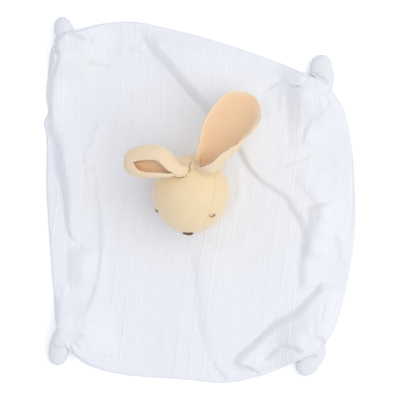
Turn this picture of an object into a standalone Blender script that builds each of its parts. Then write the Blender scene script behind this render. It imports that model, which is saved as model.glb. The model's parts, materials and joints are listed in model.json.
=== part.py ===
"""Comfort blanket with a rabbit's head: a doubled, corner-knotted cotton cloth that lies flat, a stuffed
head sewn on its middle and two cupped ears. Metres, +Z up, the face towards -Y, origin on the floor
under the middle of the whole."""

import math
from typing import NamedTuple

import bmesh
import bpy
import numpy as np
from mathutils import Matrix, Vector

# Gaps: what neighbouring pieces keep between them, and how far a cutter runs past what it cuts
CLEARANCE = 0.0003
RIGHT_ANGLE_DEG = 90
OVERRUN = 0.004
MERGE = 0.000001

# Blanket
BLANKET_WIDTH = 0.311
BLANKET_LENGTH = 0.365
TOP_PANEL_THICKNESS = 0.0015
BACK_PANEL_THICKNESS = 0.0015
FOLD_HEIGHT = 0.008
FOLD_WIDTH = 0.030
NECK_FLAT_RADIUS = 0.022
NECK_FLAT_FADE = 0.045
EDGE_FADE_WIDTH = 0.020
GATHER_HEIGHT = 0.0055
GATHER_REACH = 0.034
CELLS_ACROSS = 19
CELLS_ALONG = 22

# Corner knots and the tails that come out of them
KNOT_RADIUS = 0.0135
KNOT_HEIGHT = 0.018
KNOT_FLAT_CUT = 0.0005
TAIL_LENGTH = 0.033
TAIL_HALF_WIDTH = 0.0125
TAIL_HALF_HEIGHT = 0.0070
TAIL_SWING_ROOM = 0.0015

# Head
HEAD_RADIUS = 0.038
HEAD_OFFSET = (-0.0087, 0.0068)
HEAD_ROLL_DEG = 13
COVER_THICKNESS = 0.0015
SNOUT_REACH = 0.0025
SNOUT_SPREAD_DEG = 28
GUSSET_HALF_DEG = 49.6
GUSSET_FROM_DEG = -45
GUSSET_TO_DEG = 225
HEAD_STEP_DEG = 15

# Neck
COLLAR_RADIUS = 0.0190
COLLAR_TOP_RADIUS = 0.0150
COLLAR_HEIGHT = 0.0062
COLLAR_FLOOR = 0.0010
NECK_THREAD_RADIUS = 0.0007

# Face
NOSE_WIDTH = 0.0105
NOSE_HEIGHT = 0.0080
NOSE_THICKNESS = 0.0010
NOSE_AHEAD_DEG = 77
NOSE_ACROSS_DEG = -3
EYE_WIDTH = 0.0065
EYE_DROP = 0.0030
EYE_THREAD_RADIUS = 0.0006
EYE_STEPS = 6
LEFT_EYE_DEG = (-56, 27)
RIGHT_EYE_DEG = (51.5, 31.5)

# Ears
EAR_LENGTH = 0.092
EAR_HALF_WIDTH = 0.027
EAR_THICKNESS = 0.0020
LINING_THICKNESS = 0.0012
EAR_SEAT = 0.0070
EAR_LIFT_DEG = 50
EAR_CELLS_ALONG = 14
EAR_CELLS_ACROSS = 10

# The outline of the cloth between its corners, as shares of half its width and half its length
TOP_EDGE_SHARES = (
    (-0.772, 0.932), (-0.643, 0.962), (-0.424, 0.975), (-0.180, 0.934),
    (0.122, 0.866), (0.492, 0.758), (0.688, 0.685),
)
RIGHT_EDGE_SHARES = (
    (0.862, 0.586), (0.939, 0.460), (0.984, 0.230), (1.000, -0.121),
    (0.952, -0.433), (0.887, -0.652), (0.817, -0.773),
)
BOTTOM_EDGE_SHARES = (
    (0.605, -0.888), (0.412, -0.957), (0.161, -1.000), (-0.138, -0.979),
    (-0.466, -0.959), (-0.695, -0.912), (-0.810, -0.844),
)
LEFT_EDGE_SHARES = (
    (-0.926, -0.668), (-0.936, -0.548), (-0.965, -0.219), (-0.984, 0.055),
    (-0.984, 0.329), (-0.998, 0.427), (-0.981, 0.630), (-0.961, 0.800), (-0.920, 0.877),
)


class Corner(NamedTuple):
    """One knotted corner: its place on the cloth and the way its tail points."""

    name: str
    place_shares: tuple
    tail_turn_deg: float
    length_share: float
    width_share: float


CORNERS = (
    Corner("top_left", (-0.849, 0.866), 100, 0.76, 0.78),
    Corner("top_right", (0.759, 0.614), 84, 1.00, 0.95),
    Corner("bottom_right", (0.727, -0.800), 250, 1.00, 1.00),
    Corner("bottom_left", (-0.830, -0.740), 247, 1.00, 0.84),
)
CORNER_REACH_SHARE = 0.7
TAIL_BACK_SHARE = 0.15
TAIL_EGG_SHARE = 0.18
KNOT_LUMP_SHARE = 0.06
KNOT_LUMPS = 3
KNOT_TWIST_DEG = 70
KNOT_FOOT_FULLNESS = 4.0
KNOT_TOP_FULLNESS = 2.4
KNOT_STEPS_ROUND = 14
KNOT_STEPS_UP = 9
TAIL_STEPS_ROUND = 12
TAIL_STEPS_ALONG = 10
SAMPLES_PER_STEP = 40


class Fold(NamedTuple):
    """A fold of the cloth: a step up to the left of its path, then a slow fall."""

    path_shares: tuple
    height_share: float
    face_share: float
    back_share: float


FOLDS = (
    Fold(
        ((-0.40, 0.97), (-0.32, 0.83), (-0.22, 0.73), (-0.12, 0.61), (0.00, 0.51), (0.13, 0.38),
         (0.26, 0.26), (0.40, 0.15), (0.53, 0.04), (0.65, -0.08), (0.66, -0.25), (0.67, -0.48)),
        0.85, 0.40, 1.6,
    ),
    Fold(((0.76, -0.47), (0.58, -0.63), (0.42, -0.76), (0.24, -0.89)), 0.75, 0.50, 1.3),
    Fold(
        ((-0.97, 0.38), (-0.91, 0.22), (-0.87, 0.05), (-0.85, -0.11), (-0.81, -0.24), (-0.78, -0.34),
         (-0.82, -0.50)),
        0.75, 0.45, 0.8,
    ),
    Fold(
        ((-0.68, 0.44), (-0.73, 0.27), (-0.73, 0.11), (-0.66, -0.03), (-0.65, -0.25), (-0.67, -0.41),
         (-0.75, -0.68)),
        0.35, 0.35, 1.4,
    ),
    Fold(((-0.03, -0.25), (0.03, -0.49), (0.07, -0.79), (0.15, -0.96)), 0.35, 0.60, 1.2),
    Fold(((0.59, 0.59), (0.60, 0.46), (0.59, 0.33)), 0.40, 0.50, 0.9),
)
FOLD_END_SHARE = 0.08

# Half width of the crown gusset from under the nose over the crown to the nape
GUSSET_WIDTH_SHARES = (0.05, 0.20, 0.32, 0.62, 0.88, 1.0, 1.0, 0.95, 0.85, 0.6, 0.05)

# Nose, a heart lying point down, as shares of its half width and height
NOSE_OUTLINE_SHARES = (
    (0.0, 0.32), (0.30, 0.48), (0.66, 0.50), (0.95, 0.34), (0.98, 0.08), (0.66, -0.22), (0.30, -0.44),
    (0.0, -0.52), (-0.30, -0.44), (-0.66, -0.22), (-0.98, 0.08), (-0.95, 0.34), (-0.66, 0.50),
    (-0.30, 0.48),
)
NOSE_RING_SHARE = 0.55


class Station(NamedTuple):
    """One place along an ear: where it lies from the root as shares of the ear's length, how far the
    hollow is turned from straight up, how far the cloth wraps round it, and the share of the full width."""

    across_share: float
    behind_share: float
    up_share: float
    turn_deg: float
    wrap_deg: float
    width_share: float


class Ear(NamedTuple):
    """One ear: where it is sewn to the head and the stations from there to its tip."""

    name: str
    across_deg: float
    behind_deg: float
    stations: tuple


EARS = (
    Ear(
        "ear_left", -14.8, 40.1,
        (
            Station(0.000, 0.000, 0.000, 90, 290, 0.60),
            Station(-0.122, 0.090, 0.098, 86, 280, 0.66),
            Station(-0.218, 0.166, 0.130, 74, 250, 0.80),
            Station(-0.301, 0.172, 0.109, 56, 228, 0.96),
            Station(-0.375, 0.153, 0.065, 40, 212, 1.00),
            Station(-0.462, 0.115, 0.027, 28, 200, 0.90),
            Station(-0.555, 0.076, -0.005, 18, 180, 0.62),
            Station(-0.622, 0.056, -0.022, 12, 130, 0.14),
        ),
    ),
    Ear(
        "ear_right", 43.6, 32.8,
        (
            Station(0.000, 0.000, 0.000, 50, 250, 0.74),
            Station(0.045, 0.108, 0.033, 38, 200, 0.86),
            Station(0.110, 0.232, 0.000, 24, 152, 0.97),
            Station(0.172, 0.375, -0.065, 15, 122, 1.04),
            Station(0.230, 0.520, -0.152, 10, 106, 1.02),
            Station(0.288, 0.655, -0.239, 8, 95, 0.84),
            Station(0.333, 0.750, -0.293, 6, 80, 0.58),
            Station(0.364, 0.806, -0.322, 4, 60, 0.20),
        ),
    ),
)

# What the sizes above put where
TOP_PANEL_BASE = BACK_PANEL_THICKNESS + CLEARANCE
TOP_PANEL_SURFACE = TOP_PANEL_BASE + TOP_PANEL_THICKNESS
COLLAR_BASE = TOP_PANEL_SURFACE + CLEARANCE
HEAD_CENTRE = Vector((*HEAD_OFFSET, COLLAR_BASE + COLLAR_FLOOR + CLEARANCE + HEAD_RADIUS))
HEAD_STEPS_ROUND = round(360 / HEAD_STEP_DEG)
GUSSET_STEPS = round((GUSSET_TO_DEG - GUSSET_FROM_DEG) / HEAD_STEP_DEG)
SIDE_STEPS = 6
GUSSET_STEPS_ACROSS = 6
HALF_SEAM = CLEARANCE / 2 / HEAD_RADIUS
FACET_SHARE = math.cos(math.radians(HEAD_STEP_DEG) / 2) ** 2

WHITE_KNIT = ("white_knit", (0.80, 0.81, 0.85), 0.9)
CREAM_VELOUR = ("cream_velour", (0.80, 0.68, 0.48), 0.95)
APRICOT_LINING = ("apricot_lining", (0.76, 0.50, 0.29), 0.9)
BROWN_THREAD = ("brown_thread", (0.13, 0.06, 0.035), 0.6)
WHITE_THREAD = ("white_thread", (0.78, 0.78, 0.80), 0.7)
WADDING = ("wadding", (0.85, 0.85, 0.83), 1.0)


def clear_scene():
    """Leave nothing of the startup scene."""
    for obj in list(bpy.data.objects):
        bpy.data.objects.remove(obj, do_unlink=True)


def material(finish):
    """The Principled material of a (name, colour, roughness) finish, made once."""
    name, colour, roughness = finish
    made = bpy.data.materials.get(name)
    if made is None:
        made = bpy.data.materials.new(name)
        made.use_nodes = True
        shader = made.node_tree.nodes["Principled BSDF"]
        shader.inputs["Base Color"].default_value = (*colour, 1.0)
        shader.inputs["Roughness"].default_value = roughness
        shader.inputs["Metallic"].default_value = 0.0
    return made


def add_object(name, bm, finish, pivot=Vector((0, 0, 0))):
    """Turn a bmesh in world coordinates into an object whose origin is its pivot."""
    bmesh.ops.translate(bm, verts=bm.verts, vec=-pivot)
    bmesh.ops.triangulate(bm, faces=bm.faces)
    mesh = bpy.data.meshes.new(name)
    bm.to_mesh(mesh)
    bm.free()
    obj = bpy.data.objects.new(name, mesh)
    obj.location = pivot
    bpy.context.scene.collection.objects.link(obj)
    if finish:
        mesh.materials.append(material(finish))
        mesh.shade_smooth()
    return obj


def add_cutter(name, bm):
    """A helper that Booleans read and nothing shows."""
    obj = add_object(name, bm, None)
    obj.hide_render = True
    obj.display_type = "WIRE"
    return obj


def cut(obj, cutters):
    """Take the cutters' shapes out of the object."""
    for cutter in cutters:
        boolean = obj.modifiers.new("cut_" + cutter.name, "BOOLEAN")
        boolean.operation = "DIFFERENCE"
        boolean.solver = "EXACT"
        boolean.object = cutter


def face_outwards(bm):
    """Turn a closed mesh's faces away from its inside."""
    bmesh.ops.recalc_face_normals(bm, faces=bm.faces)
    if bm.calc_volume(signed=True) < 0:
        bmesh.ops.reverse_faces(bm, faces=bm.faces)


def mapped_shell(cells_u, cells_v, place, merge=False):
    """A closed shell whose points, at shares u and v from 0 to 1 and on layer 0 or 1, lie where
    place(u, v, layer) says."""
    bm = bmesh.new()
    bmesh.ops.create_grid(bm, x_segments=cells_u, y_segments=cells_v, size=1)
    bmesh.ops.triangulate(bm, faces=bm.faces, quad_method="FIXED")
    shares = bm.verts.layers.float_vector.new("shares")
    for vertex in bm.verts:
        vertex[shares] = ((vertex.co.x + 1) / 2, (vertex.co.y + 1) / 2, 0)
        vertex.co = place(vertex[shares].x, vertex[shares].y, 0)
    if merge:
        bmesh.ops.remove_doubles(bm, verts=bm.verts, dist=MERGE)
    for raised in bmesh.ops.extrude_face_region(bm, geom=bm.faces[:])["geom"]:
        if isinstance(raised, bmesh.types.BMVert):
            raised.co = place(raised[shares].x, raised[shares].y, 1)
    face_outwards(bm)
    return bm


def smooth_step(share):
    """An S-shaped rise from 0 to 1."""
    held = min(max(share, 0.0), 1.0)
    return held * held * (3 - 2 * held)


def read_table(values, share):
    """The value at a share from 0 to 1 of an evenly spaced table."""
    return float(np.interp(share, np.linspace(0, 1, len(values)), values))


def spline_point(points, share):
    """A point at a share from 0 to 1 of a Catmull-Rom spline through the points."""
    spans = len(points) - 1
    place = min(max(share, 0.0), 1.0) * spans
    start = min(int(place), spans - 1)
    t = place - start
    a, b = points[start], points[start + 1]
    before = points[start - 1] if start else a * 2 - b
    after = points[start + 2] if start + 2 <= spans else b * 2 - a
    return (
        b * (3 * t**2 - 2 * t**3)
        + a * (1 - 3 * t**2 + 2 * t**3)
        + (b - before) * ((t - 2 * t**2 + t**3) / 2)
        + (after - a) * ((t**3 - t**2) / 2)
    )


def on_cloth(shares):
    """The place in plan of a pair of shares of half the cloth's width and length."""
    return Vector((shares[0] * BLANKET_WIDTH / 2, shares[1] * BLANKET_LENGTH / 2))


def heading(degrees):
    """The unit vector in plan at an angle from +X."""
    return Vector((math.cos(math.radians(degrees)), math.sin(math.radians(degrees))))


def even_points(points, count):
    """Points spaced evenly along a smooth curve through the given ones."""
    samples = SAMPLES_PER_STEP * count
    dense = [spline_point(points, k / samples) for k in range(samples + 1)]
    run = [0.0]
    for a, b in zip(dense, dense[1:]):
        run.append(run[-1] + (b - a).length)
    places = np.interp(np.linspace(0, run[-1], count + 1), run, np.arange(len(dense)))
    return [dense[round(float(place))] for place in places]


def cloth_edges():
    """The four edges of the cloth as evenly spaced points: bottom and top from the left, left and right
    from the bottom."""
    top_left, top_right, bottom_right, bottom_left = (
        on_cloth(corner.place_shares) + heading(corner.tail_turn_deg) * CORNER_REACH_SHARE * KNOT_RADIUS
        for corner in CORNERS
    )
    through = [on_cloth(each) for each in TOP_EDGE_SHARES]
    top = even_points([top_left, *through, top_right], CELLS_ACROSS)
    through = [on_cloth(each) for each in RIGHT_EDGE_SHARES]
    right = even_points([top_right, *through, bottom_right], CELLS_ALONG)[::-1]
    through = [on_cloth(each) for each in BOTTOM_EDGE_SHARES]
    bottom = even_points([bottom_right, *through, bottom_left], CELLS_ACROSS)[::-1]
    through = [on_cloth(each) for each in LEFT_EDGE_SHARES]
    left = even_points([bottom_left, *through, top_left], CELLS_ALONG)
    return bottom, top, left, right


def cloth_place(edges, u, v):
    """The place in plan of the shares u and v of the cloth, blended from its four edges."""
    bottom, top, left, right = edges
    across, along = round(u * CELLS_ACROSS), round(v * CELLS_ALONG)
    ruled = bottom[across] * (1 - v) + top[across] * v + left[along] * (1 - u) + right[along] * u
    corners = (bottom[0] * (1 - u) + bottom[-1] * u) * (1 - v) + (top[0] * (1 - u) + top[-1] * u) * v
    return ruled - corners


def fold_rise(fold, place):
    """How far one fold lifts the cloth at a place in plan."""
    path = [on_cloth(each) for each in fold.path_shares]
    best, side, along = None, 0.0, 0.0
    for index, (a, b) in enumerate(zip(path, path[1:])):
        run = b - a
        share = min(max((place - a).dot(run) / run.length_squared, 0.0), 1.0)
        off = place - (a + run * share)
        if best is None or off.length < best:
            best = off.length
            side = math.copysign(1.0, run.x * off.y - run.y * off.x)
            along = (index + share) / (len(path) - 1)
    if side < 0:
        return 0.0
    face = fold.face_share * FOLD_WIDTH
    back = fold.back_share * FOLD_WIDTH
    ends = smooth_step(along / FOLD_END_SHARE) * smooth_step((1 - along) / FOLD_END_SHARE)
    fall = math.exp(-((max(best - face, 0.0) / back) ** 2))
    return fold.height_share * FOLD_HEIGHT * ends * smooth_step(best / face) * fall


def cloth_rise(place, edge_distance):
    """How far the top panel stands off the back panel at a place in plan."""
    rise = sum(fold_rise(fold, place) for fold in FOLDS)
    from_neck = (place - Vector(HEAD_OFFSET)).length
    rise *= smooth_step((from_neck - NECK_FLAT_RADIUS) / NECK_FLAT_FADE)
    rise *= smooth_step(edge_distance / EDGE_FADE_WIDTH)
    for corner in CORNERS:
        off = (place - on_cloth(corner.place_shares)).length
        rise += GATHER_HEIGHT * smooth_step(1 - (off - KNOT_RADIUS) / GATHER_REACH)
    return rise


def knot_mesh(corner, grow):
    """The lump of one tied corner, larger by grow all round. It sits flat on the floor."""
    bm = bmesh.new()
    bmesh.ops.create_uvsphere(bm, u_segments=KNOT_STEPS_ROUND, v_segments=KNOT_STEPS_UP, radius=1)
    centre = on_cloth(corner.place_shares)
    for vertex in bm.verts:
        x, y, level = vertex.co
        turn = math.atan2(y, x)
        fullness = KNOT_FOOT_FULLNESS if level < 0 else KNOT_TOP_FULLNESS
        ring = max(1 - abs(level) ** fullness, 0.0) ** (1 / fullness)
        lump = 1 + KNOT_LUMP_SHARE * math.cos(KNOT_LUMPS * turn + math.radians(KNOT_TWIST_DEG) * level)
        radius = (KNOT_RADIUS * lump + grow) * ring
        height = KNOT_HEIGHT * (1 + level) / 2 - KNOT_FLAT_CUT
        if height <= 0:
            height = -OVERRUN if grow else 0.0
        elif level > 0:
            height += grow
        vertex.co = (centre.x + radius * math.cos(turn), centre.y + radius * math.sin(turn), height)
    bmesh.ops.remove_doubles(bm, verts=bm.verts, dist=MERGE)
    face_outwards(bm)
    return bm


def tail_mesh(corner, grow):
    """The rounded nub of one corner, from inside its knot out to its tip, larger by grow all round."""
    ahead = heading(corner.tail_turn_deg)
    aside = Vector((-ahead.y, ahead.x))
    back = TAIL_BACK_SHARE * KNOT_RADIUS
    half_length = (TAIL_LENGTH * corner.length_share - back) / 2
    centre = on_cloth(corner.place_shares) + ahead * (back + half_length)
    bm = bmesh.new()
    bmesh.ops.create_uvsphere(bm, u_segments=TAIL_STEPS_ROUND, v_segments=TAIL_STEPS_ALONG, radius=1)
    for vertex in bm.verts:
        x, y, level = vertex.co
        fuller = 1 + TAIL_EGG_SHARE * level
        place = centre + ahead * level * (half_length + grow)
        place += aside * x * (TAIL_HALF_WIDTH * corner.width_share * fuller + grow)
        height = CLEARANCE + TAIL_HALF_HEIGHT + y * (TAIL_HALF_HEIGHT + grow)
        vertex.co = (place.x, place.y, height)
    face_outwards(bm)
    return bm


def tail_pivot(corner):
    """Where one tail bends up from its knot: over the tail's root, at the knot's side."""
    place = on_cloth(corner.place_shares) + heading(corner.tail_turn_deg) * (KNOT_RADIUS + CLEARANCE)
    return Vector((place.x, place.y, CLEARANCE + 2 * TAIL_HALF_HEIGHT))


def make_corners():
    """The four knots and tails. Returns the cutters that clear the panels for them."""
    cutters = []
    for corner in CORNERS:
        knot_cutter = add_cutter("clear_knot_" + corner.name, knot_mesh(corner, CLEARANCE))
        tail_cutter = add_cutter("clear_tail_" + corner.name, tail_mesh(corner, TAIL_SWING_ROOM))
        cutters += [knot_cutter, tail_cutter]
        add_object("knot_" + corner.name, knot_mesh(corner, 0.0), WHITE_KNIT)
        tail = add_object("tail_" + corner.name, tail_mesh(corner, 0.0), WHITE_KNIT, tail_pivot(corner))
        cut(tail, [knot_cutter])
    return cutters


def make_blanket(cutters):
    """The two panels of the cloth, cut back round the knots and tails."""
    edges = cloth_edges()

    def place(u, v, layer):
        spot = cloth_place(edges, u, v)
        from_edge = min(min(u, 1 - u) * BLANKET_WIDTH, min(v, 1 - v) * BLANKET_LENGTH)
        level = TOP_PANEL_BASE + layer * TOP_PANEL_THICKNESS + cloth_rise(spot, from_edge)
        return Vector((spot.x, spot.y, level))

    top = add_object("blanket_top_panel", mapped_shell(CELLS_ACROSS, CELLS_ALONG, place), WHITE_KNIT)
    cut(top, cutters)

    bottom, upper, left, right = edges
    ring = bottom[:-1] + right[:-1] + upper[:0:-1] + left[:0:-1]
    bm = bmesh.new()
    face = bm.faces.new([bm.verts.new((each.x, each.y, 0.0)) for each in ring])
    raised = bmesh.ops.extrude_face_region(bm, geom=[face])["geom"]
    lifted = [each for each in raised if isinstance(each, bmesh.types.BMVert)]
    bmesh.ops.translate(bm, verts=lifted, vec=(0, 0, BACK_PANEL_THICKNESS))
    face_outwards(bm)
    cut(add_object("blanket_back_panel", bm, WHITE_KNIT), cutters)


def head_direction(across_deg, ahead_deg):
    """The unit vector from the head's centre, across from its crown line and ahead towards the nose."""
    across = math.radians(across_deg - HEAD_ROLL_DEG)
    ahead = math.radians(ahead_deg)
    return Vector((math.sin(across) * math.cos(ahead), -math.sin(ahead), math.cos(across) * math.cos(ahead)))


def head_radius(direction):
    """The cover's outer radius in a direction, fuller at the snout."""
    off = direction.angle(head_direction(NOSE_ACROSS_DEG, NOSE_AHEAD_DEG))
    return HEAD_RADIUS + SNOUT_REACH * math.exp(-((off / math.radians(SNOUT_SPREAD_DEG)) ** 2))


def cover_point(round_deg, across, layer):
    """A point of the cover, outside on layer 0 and inside on layer 1: round from the nose over the crown,
    and across from the head's mid-plane."""
    turn = math.radians(round_deg)
    direction = Vector((math.sin(across), -math.cos(turn) * math.cos(across), math.sin(turn) * math.cos(across)))
    direction.rotate(Matrix.Rotation(math.radians(-HEAD_ROLL_DEG), 3, "Y"))
    return HEAD_CENTRE + direction * (head_radius(direction) - layer * COVER_THICKNESS)


def gusset_half_angle(round_deg):
    """Half the gusset's angle across at a place round the head, and nothing where it doesn't reach."""
    into = (round_deg - GUSSET_FROM_DEG) % 360 / (GUSSET_TO_DEG - GUSSET_FROM_DEG)
    if into > 1:
        return 0.0
    return math.radians(GUSSET_HALF_DEG) * read_table(GUSSET_WIDTH_SHARES, into)


def make_head():
    """The head's cover in three panels, and the wadding that fills it."""

    def gusset_place(u, v, layer):
        round_deg = GUSSET_FROM_DEG + round(u * GUSSET_STEPS) * HEAD_STEP_DEG
        return cover_point(round_deg, (2 * v - 1) * (gusset_half_angle(round_deg) - HALF_SEAM), layer)

    def side_place(side):
        def place(u, v, layer):
            round_deg = GUSSET_FROM_DEG + round(u * HEAD_STEPS_ROUND) * HEAD_STEP_DEG
            start = gusset_half_angle(round_deg) + HALF_SEAM
            return cover_point(round_deg, side * (start + v * (math.pi / 2 - start)), layer)

        return place

    panels = (
        ("head_gusset", mapped_shell(GUSSET_STEPS, GUSSET_STEPS_ACROSS, gusset_place)),
        ("head_side_left", mapped_shell(HEAD_STEPS_ROUND, SIDE_STEPS, side_place(-1), merge=True)),
        ("head_side_right", mapped_shell(HEAD_STEPS_ROUND, SIDE_STEPS, side_place(1), merge=True)),
    )
    for name, bm in panels:
        add_object(name, bm, CREAM_VELOUR, HEAD_CENTRE)

    filling = bmesh.new()
    bmesh.ops.create_uvsphere(filling, u_segments=HEAD_STEPS_ROUND, v_segments=HEAD_STEPS_ROUND // 2, radius=1)
    for vertex in filling.verts:
        direction = vertex.co.normalized()
        inner = (head_radius(direction) - COVER_THICKNESS) * FACET_SHARE - CLEARANCE
        vertex.co = HEAD_CENTRE + direction * inner
    add_object("head_filling", filling, WADDING, HEAD_CENTRE)


def ball_cutter(name, centre, radius):
    """A faceted ball that holds the true ball of this radius."""
    bm = bmesh.new()
    bmesh.ops.create_uvsphere(
        bm, u_segments=2 * HEAD_STEPS_ROUND, v_segments=HEAD_STEPS_ROUND, radius=1
    )
    facet = math.cos(math.radians(HEAD_STEP_DEG) / 4) ** 2
    bmesh.ops.scale(bm, verts=bm.verts, vec=(radius / facet,) * 3)
    bmesh.ops.translate(bm, verts=bm.verts, vec=centre)
    return add_cutter(name, bm)


def make_neck(head_cutter):
    """The gathered collar that the head sits in, and the ring of thread round its foot."""
    bm = bmesh.new()
    bmesh.ops.create_cone(
        bm,
        cap_ends=True,
        segments=HEAD_STEPS_ROUND,
        radius1=COLLAR_RADIUS,
        radius2=COLLAR_TOP_RADIUS,
        depth=COLLAR_HEIGHT,
        matrix=Matrix.Translation((*HEAD_OFFSET, COLLAR_BASE + COLLAR_HEIGHT / 2)),
    )
    cut(add_object("neck_collar", bm, CREAM_VELOUR), [head_cutter])

    reach = COLLAR_RADIUS + CLEARANCE + NECK_THREAD_RADIUS
    level = TOP_PANEL_SURFACE + CLEARANCE + NECK_THREAD_RADIUS
    ring = [
        Vector((*(Vector(HEAD_OFFSET) + heading(turn) * reach), level))
        for turn in range(0, 360, HEAD_STEP_DEG)
    ]
    add_thread("neck_thread", ring, NECK_THREAD_RADIUS, WHITE_THREAD, closed=True)


def add_thread(name, points, radius, finish, closed=False):
    """A round thread through the points."""
    curve = bpy.data.curves.new(name, "CURVE")
    curve.dimensions = "3D"
    curve.bevel_depth = radius
    curve.bevel_resolution = 1
    curve.use_fill_caps = not closed
    spline = curve.splines.new("POLY")
    spline.points.add(len(points) - 1)
    spline.use_cyclic_u = closed
    for point, place in zip(spline.points, points):
        point.co = (*place, 1)
    curve.materials.append(material(finish))
    obj = bpy.data.objects.new(name, curve)
    bpy.context.scene.collection.objects.link(obj)
    return obj


def face_point(place_deg, right, up, lift):
    """A point over the cover, moved right and up from a place on the face and lifted off it."""
    across_deg, ahead_deg = place_deg
    start = head_direction(across_deg, ahead_deg)
    crown = head_direction(across_deg, ahead_deg - RIGHT_ANGLE_DEG)
    direction = start + crown * (up / HEAD_RADIUS) + crown.cross(start) * (right / HEAD_RADIUS)
    direction.normalize()
    return HEAD_CENTRE + direction * (head_radius(direction) + lift)


def make_face():
    """The embroidered nose and the two curved eyes."""
    nose = (NOSE_ACROSS_DEG, NOSE_AHEAD_DEG)
    bm = bmesh.new()
    layers = []
    for lift in (CLEARANCE, CLEARANCE + NOSE_THICKNESS):
        rings = []
        for size in (1.0, NOSE_RING_SHARE):
            rings.append([
                bm.verts.new(face_point(nose, size * x * NOSE_WIDTH / 2, size * y * NOSE_HEIGHT, lift))
                for x, y in NOSE_OUTLINE_SHARES
            ])
        rings.append(bm.verts.new(face_point(nose, 0, 0, lift)))
        layers.append(rings)
    count = len(NOSE_OUTLINE_SHARES)
    for k in range(count):
        after = (k + 1) % count
        for outer, inner, middle in layers:
            bm.faces.new((outer[k], outer[after], inner[after], inner[k]))
            bm.faces.new((inner[k], inner[after], middle))
        bm.faces.new((layers[0][0][k], layers[0][0][after], layers[1][0][after], layers[1][0][k]))
    face_outwards(bm)
    add_object("nose_embroidery", bm, BROWN_THREAD, HEAD_CENTRE)

    for name, place in (("eye_left", LEFT_EYE_DEG), ("eye_right", RIGHT_EYE_DEG)):
        arc = []
        for k in range(EYE_STEPS + 1):
            across = 2 * k / EYE_STEPS - 1
            drop = (across**2 - 1) * EYE_DROP
            arc.append(face_point(place, across * EYE_WIDTH / 2, drop, CLEARANCE + EYE_THREAD_RADIUS))
        add_thread(name, arc, EYE_THREAD_RADIUS, BROWN_THREAD)


def ear_root(ear):
    """Where an ear meets the clear surface of the head."""
    direction = head_direction(ear.across_deg + HEAD_ROLL_DEG, -ear.behind_deg)
    return HEAD_CENTRE + direction * (HEAD_RADIUS + CLEARANCE)


def ear_stations(ear):
    """The places and the section values of an ear's stations, its seat inside the head put first."""
    places = [Vector(each[:3]) * EAR_LENGTH for each in ear.stations]
    sections = [Vector(each[3:]) for each in ear.stations]
    seat = places[0] + (places[0] - places[1]).normalized() * EAR_SEAT
    return [seat, *places], [sections[0], *sections]


def ear_point(ear, u, v, inset):
    """A point of an ear's cloth: u from root to tip, v round the hollow, inset towards the hollow."""
    places, sections = ear_stations(ear)
    step = 1 / (4 * EAR_CELLS_ALONG)
    ahead = (spline_point(places, u + step) - spline_point(places, u - step)).normalized()
    left = Vector((0, 0, 1)).cross(ahead).normalized()
    turn_deg, wrap_deg, width_share = spline_point(sections, u)
    turn, wrap = math.radians(turn_deg), math.radians(wrap_deg)
    hollow = ahead.cross(left) * math.cos(turn) + left * math.sin(turn)
    aside = hollow.cross(ahead)
    radius = 2 * EAR_HALF_WIDTH * width_share / wrap
    angle = (2 * v - 1) * wrap / 2
    reach = radius - inset
    middle = ear_root(ear) + spline_point(places, u)
    return middle + hollow * (radius - reach * math.cos(angle)) + aside * reach * math.sin(angle)


def ear_pivot(ear):
    """A point and direction of the line that an ear lifts about: over the front of its root."""
    ahead = Vector(ear.stations[1][:3]) - Vector(ear.stations[0][:3])
    forward = Vector((-ahead.x, -ahead.y, 0)).normalized()
    root = ear.stations[0]
    radius = 2 * EAR_HALF_WIDTH * root.width_share / math.radians(root.wrap_deg)
    over = ear_root(ear) + forward * radius - HEAD_CENTRE
    axis = Vector((0, 0, 1)).cross(forward)
    return HEAD_CENTRE + over.normalized() * (HEAD_RADIUS + CLEARANCE), axis


def make_ears(head_cutter):
    """Both ears, each an outer panel with a lining in its hollow, seated on the head."""
    for ear in EARS:
        pivot, axis = ear_pivot(ear)
        turned = Matrix.Rotation(math.radians(-EAR_LIFT_DEG), 3, axis) @ (HEAD_CENTRE - pivot)
        lifted_cutter = ball_cutter("clear_lift_" + ear.name, pivot + turned, HEAD_RADIUS + CLEARANCE)

        def outer_place(u, v, layer, each=ear):
            return ear_point(each, u, v, -layer * EAR_THICKNESS)

        def lining_place(u, v, layer, each=ear):
            u = (1 + u * (EAR_CELLS_ALONG - 2)) / EAR_CELLS_ALONG
            v = (1 + v * (EAR_CELLS_ACROSS - 2)) / EAR_CELLS_ACROSS
            return ear_point(each, u, v, CLEARANCE + layer * LINING_THICKNESS)

        outer = mapped_shell(EAR_CELLS_ALONG, EAR_CELLS_ACROSS, outer_place)
        outer = add_object(ear.name + "_outer", outer, CREAM_VELOUR, pivot)
        lining = mapped_shell(EAR_CELLS_ALONG - 2, EAR_CELLS_ACROSS - 2, lining_place)
        lining = add_object(ear.name + "_lining", lining, APRICOT_LINING, pivot)
        for piece in (outer, lining):
            cut(piece, [head_cutter, lifted_cutter])


def main():
    """Build the whole object."""
    clear_scene()
    make_blanket(make_corners())
    make_head()
    head_cutter = ball_cutter("clear_head", HEAD_CENTRE, HEAD_RADIUS + CLEARANCE)
    make_neck(head_cutter)
    make_face()
    make_ears(head_cutter)


main()
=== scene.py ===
"""A comfort blanket with a rabbit's head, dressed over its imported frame: knit cloth with folds and knotted
corners, a stuffed velour head with two cupped ears, and an embroidered face. Metres, +Z up."""

import sys
import json
import logging
import math
from dataclasses import dataclass, field
from enum import Enum
from typing import Callable, Optional, Sequence

import bmesh
import bpy
import numpy as np
from mathutils import Matrix, Vector, noise

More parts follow.
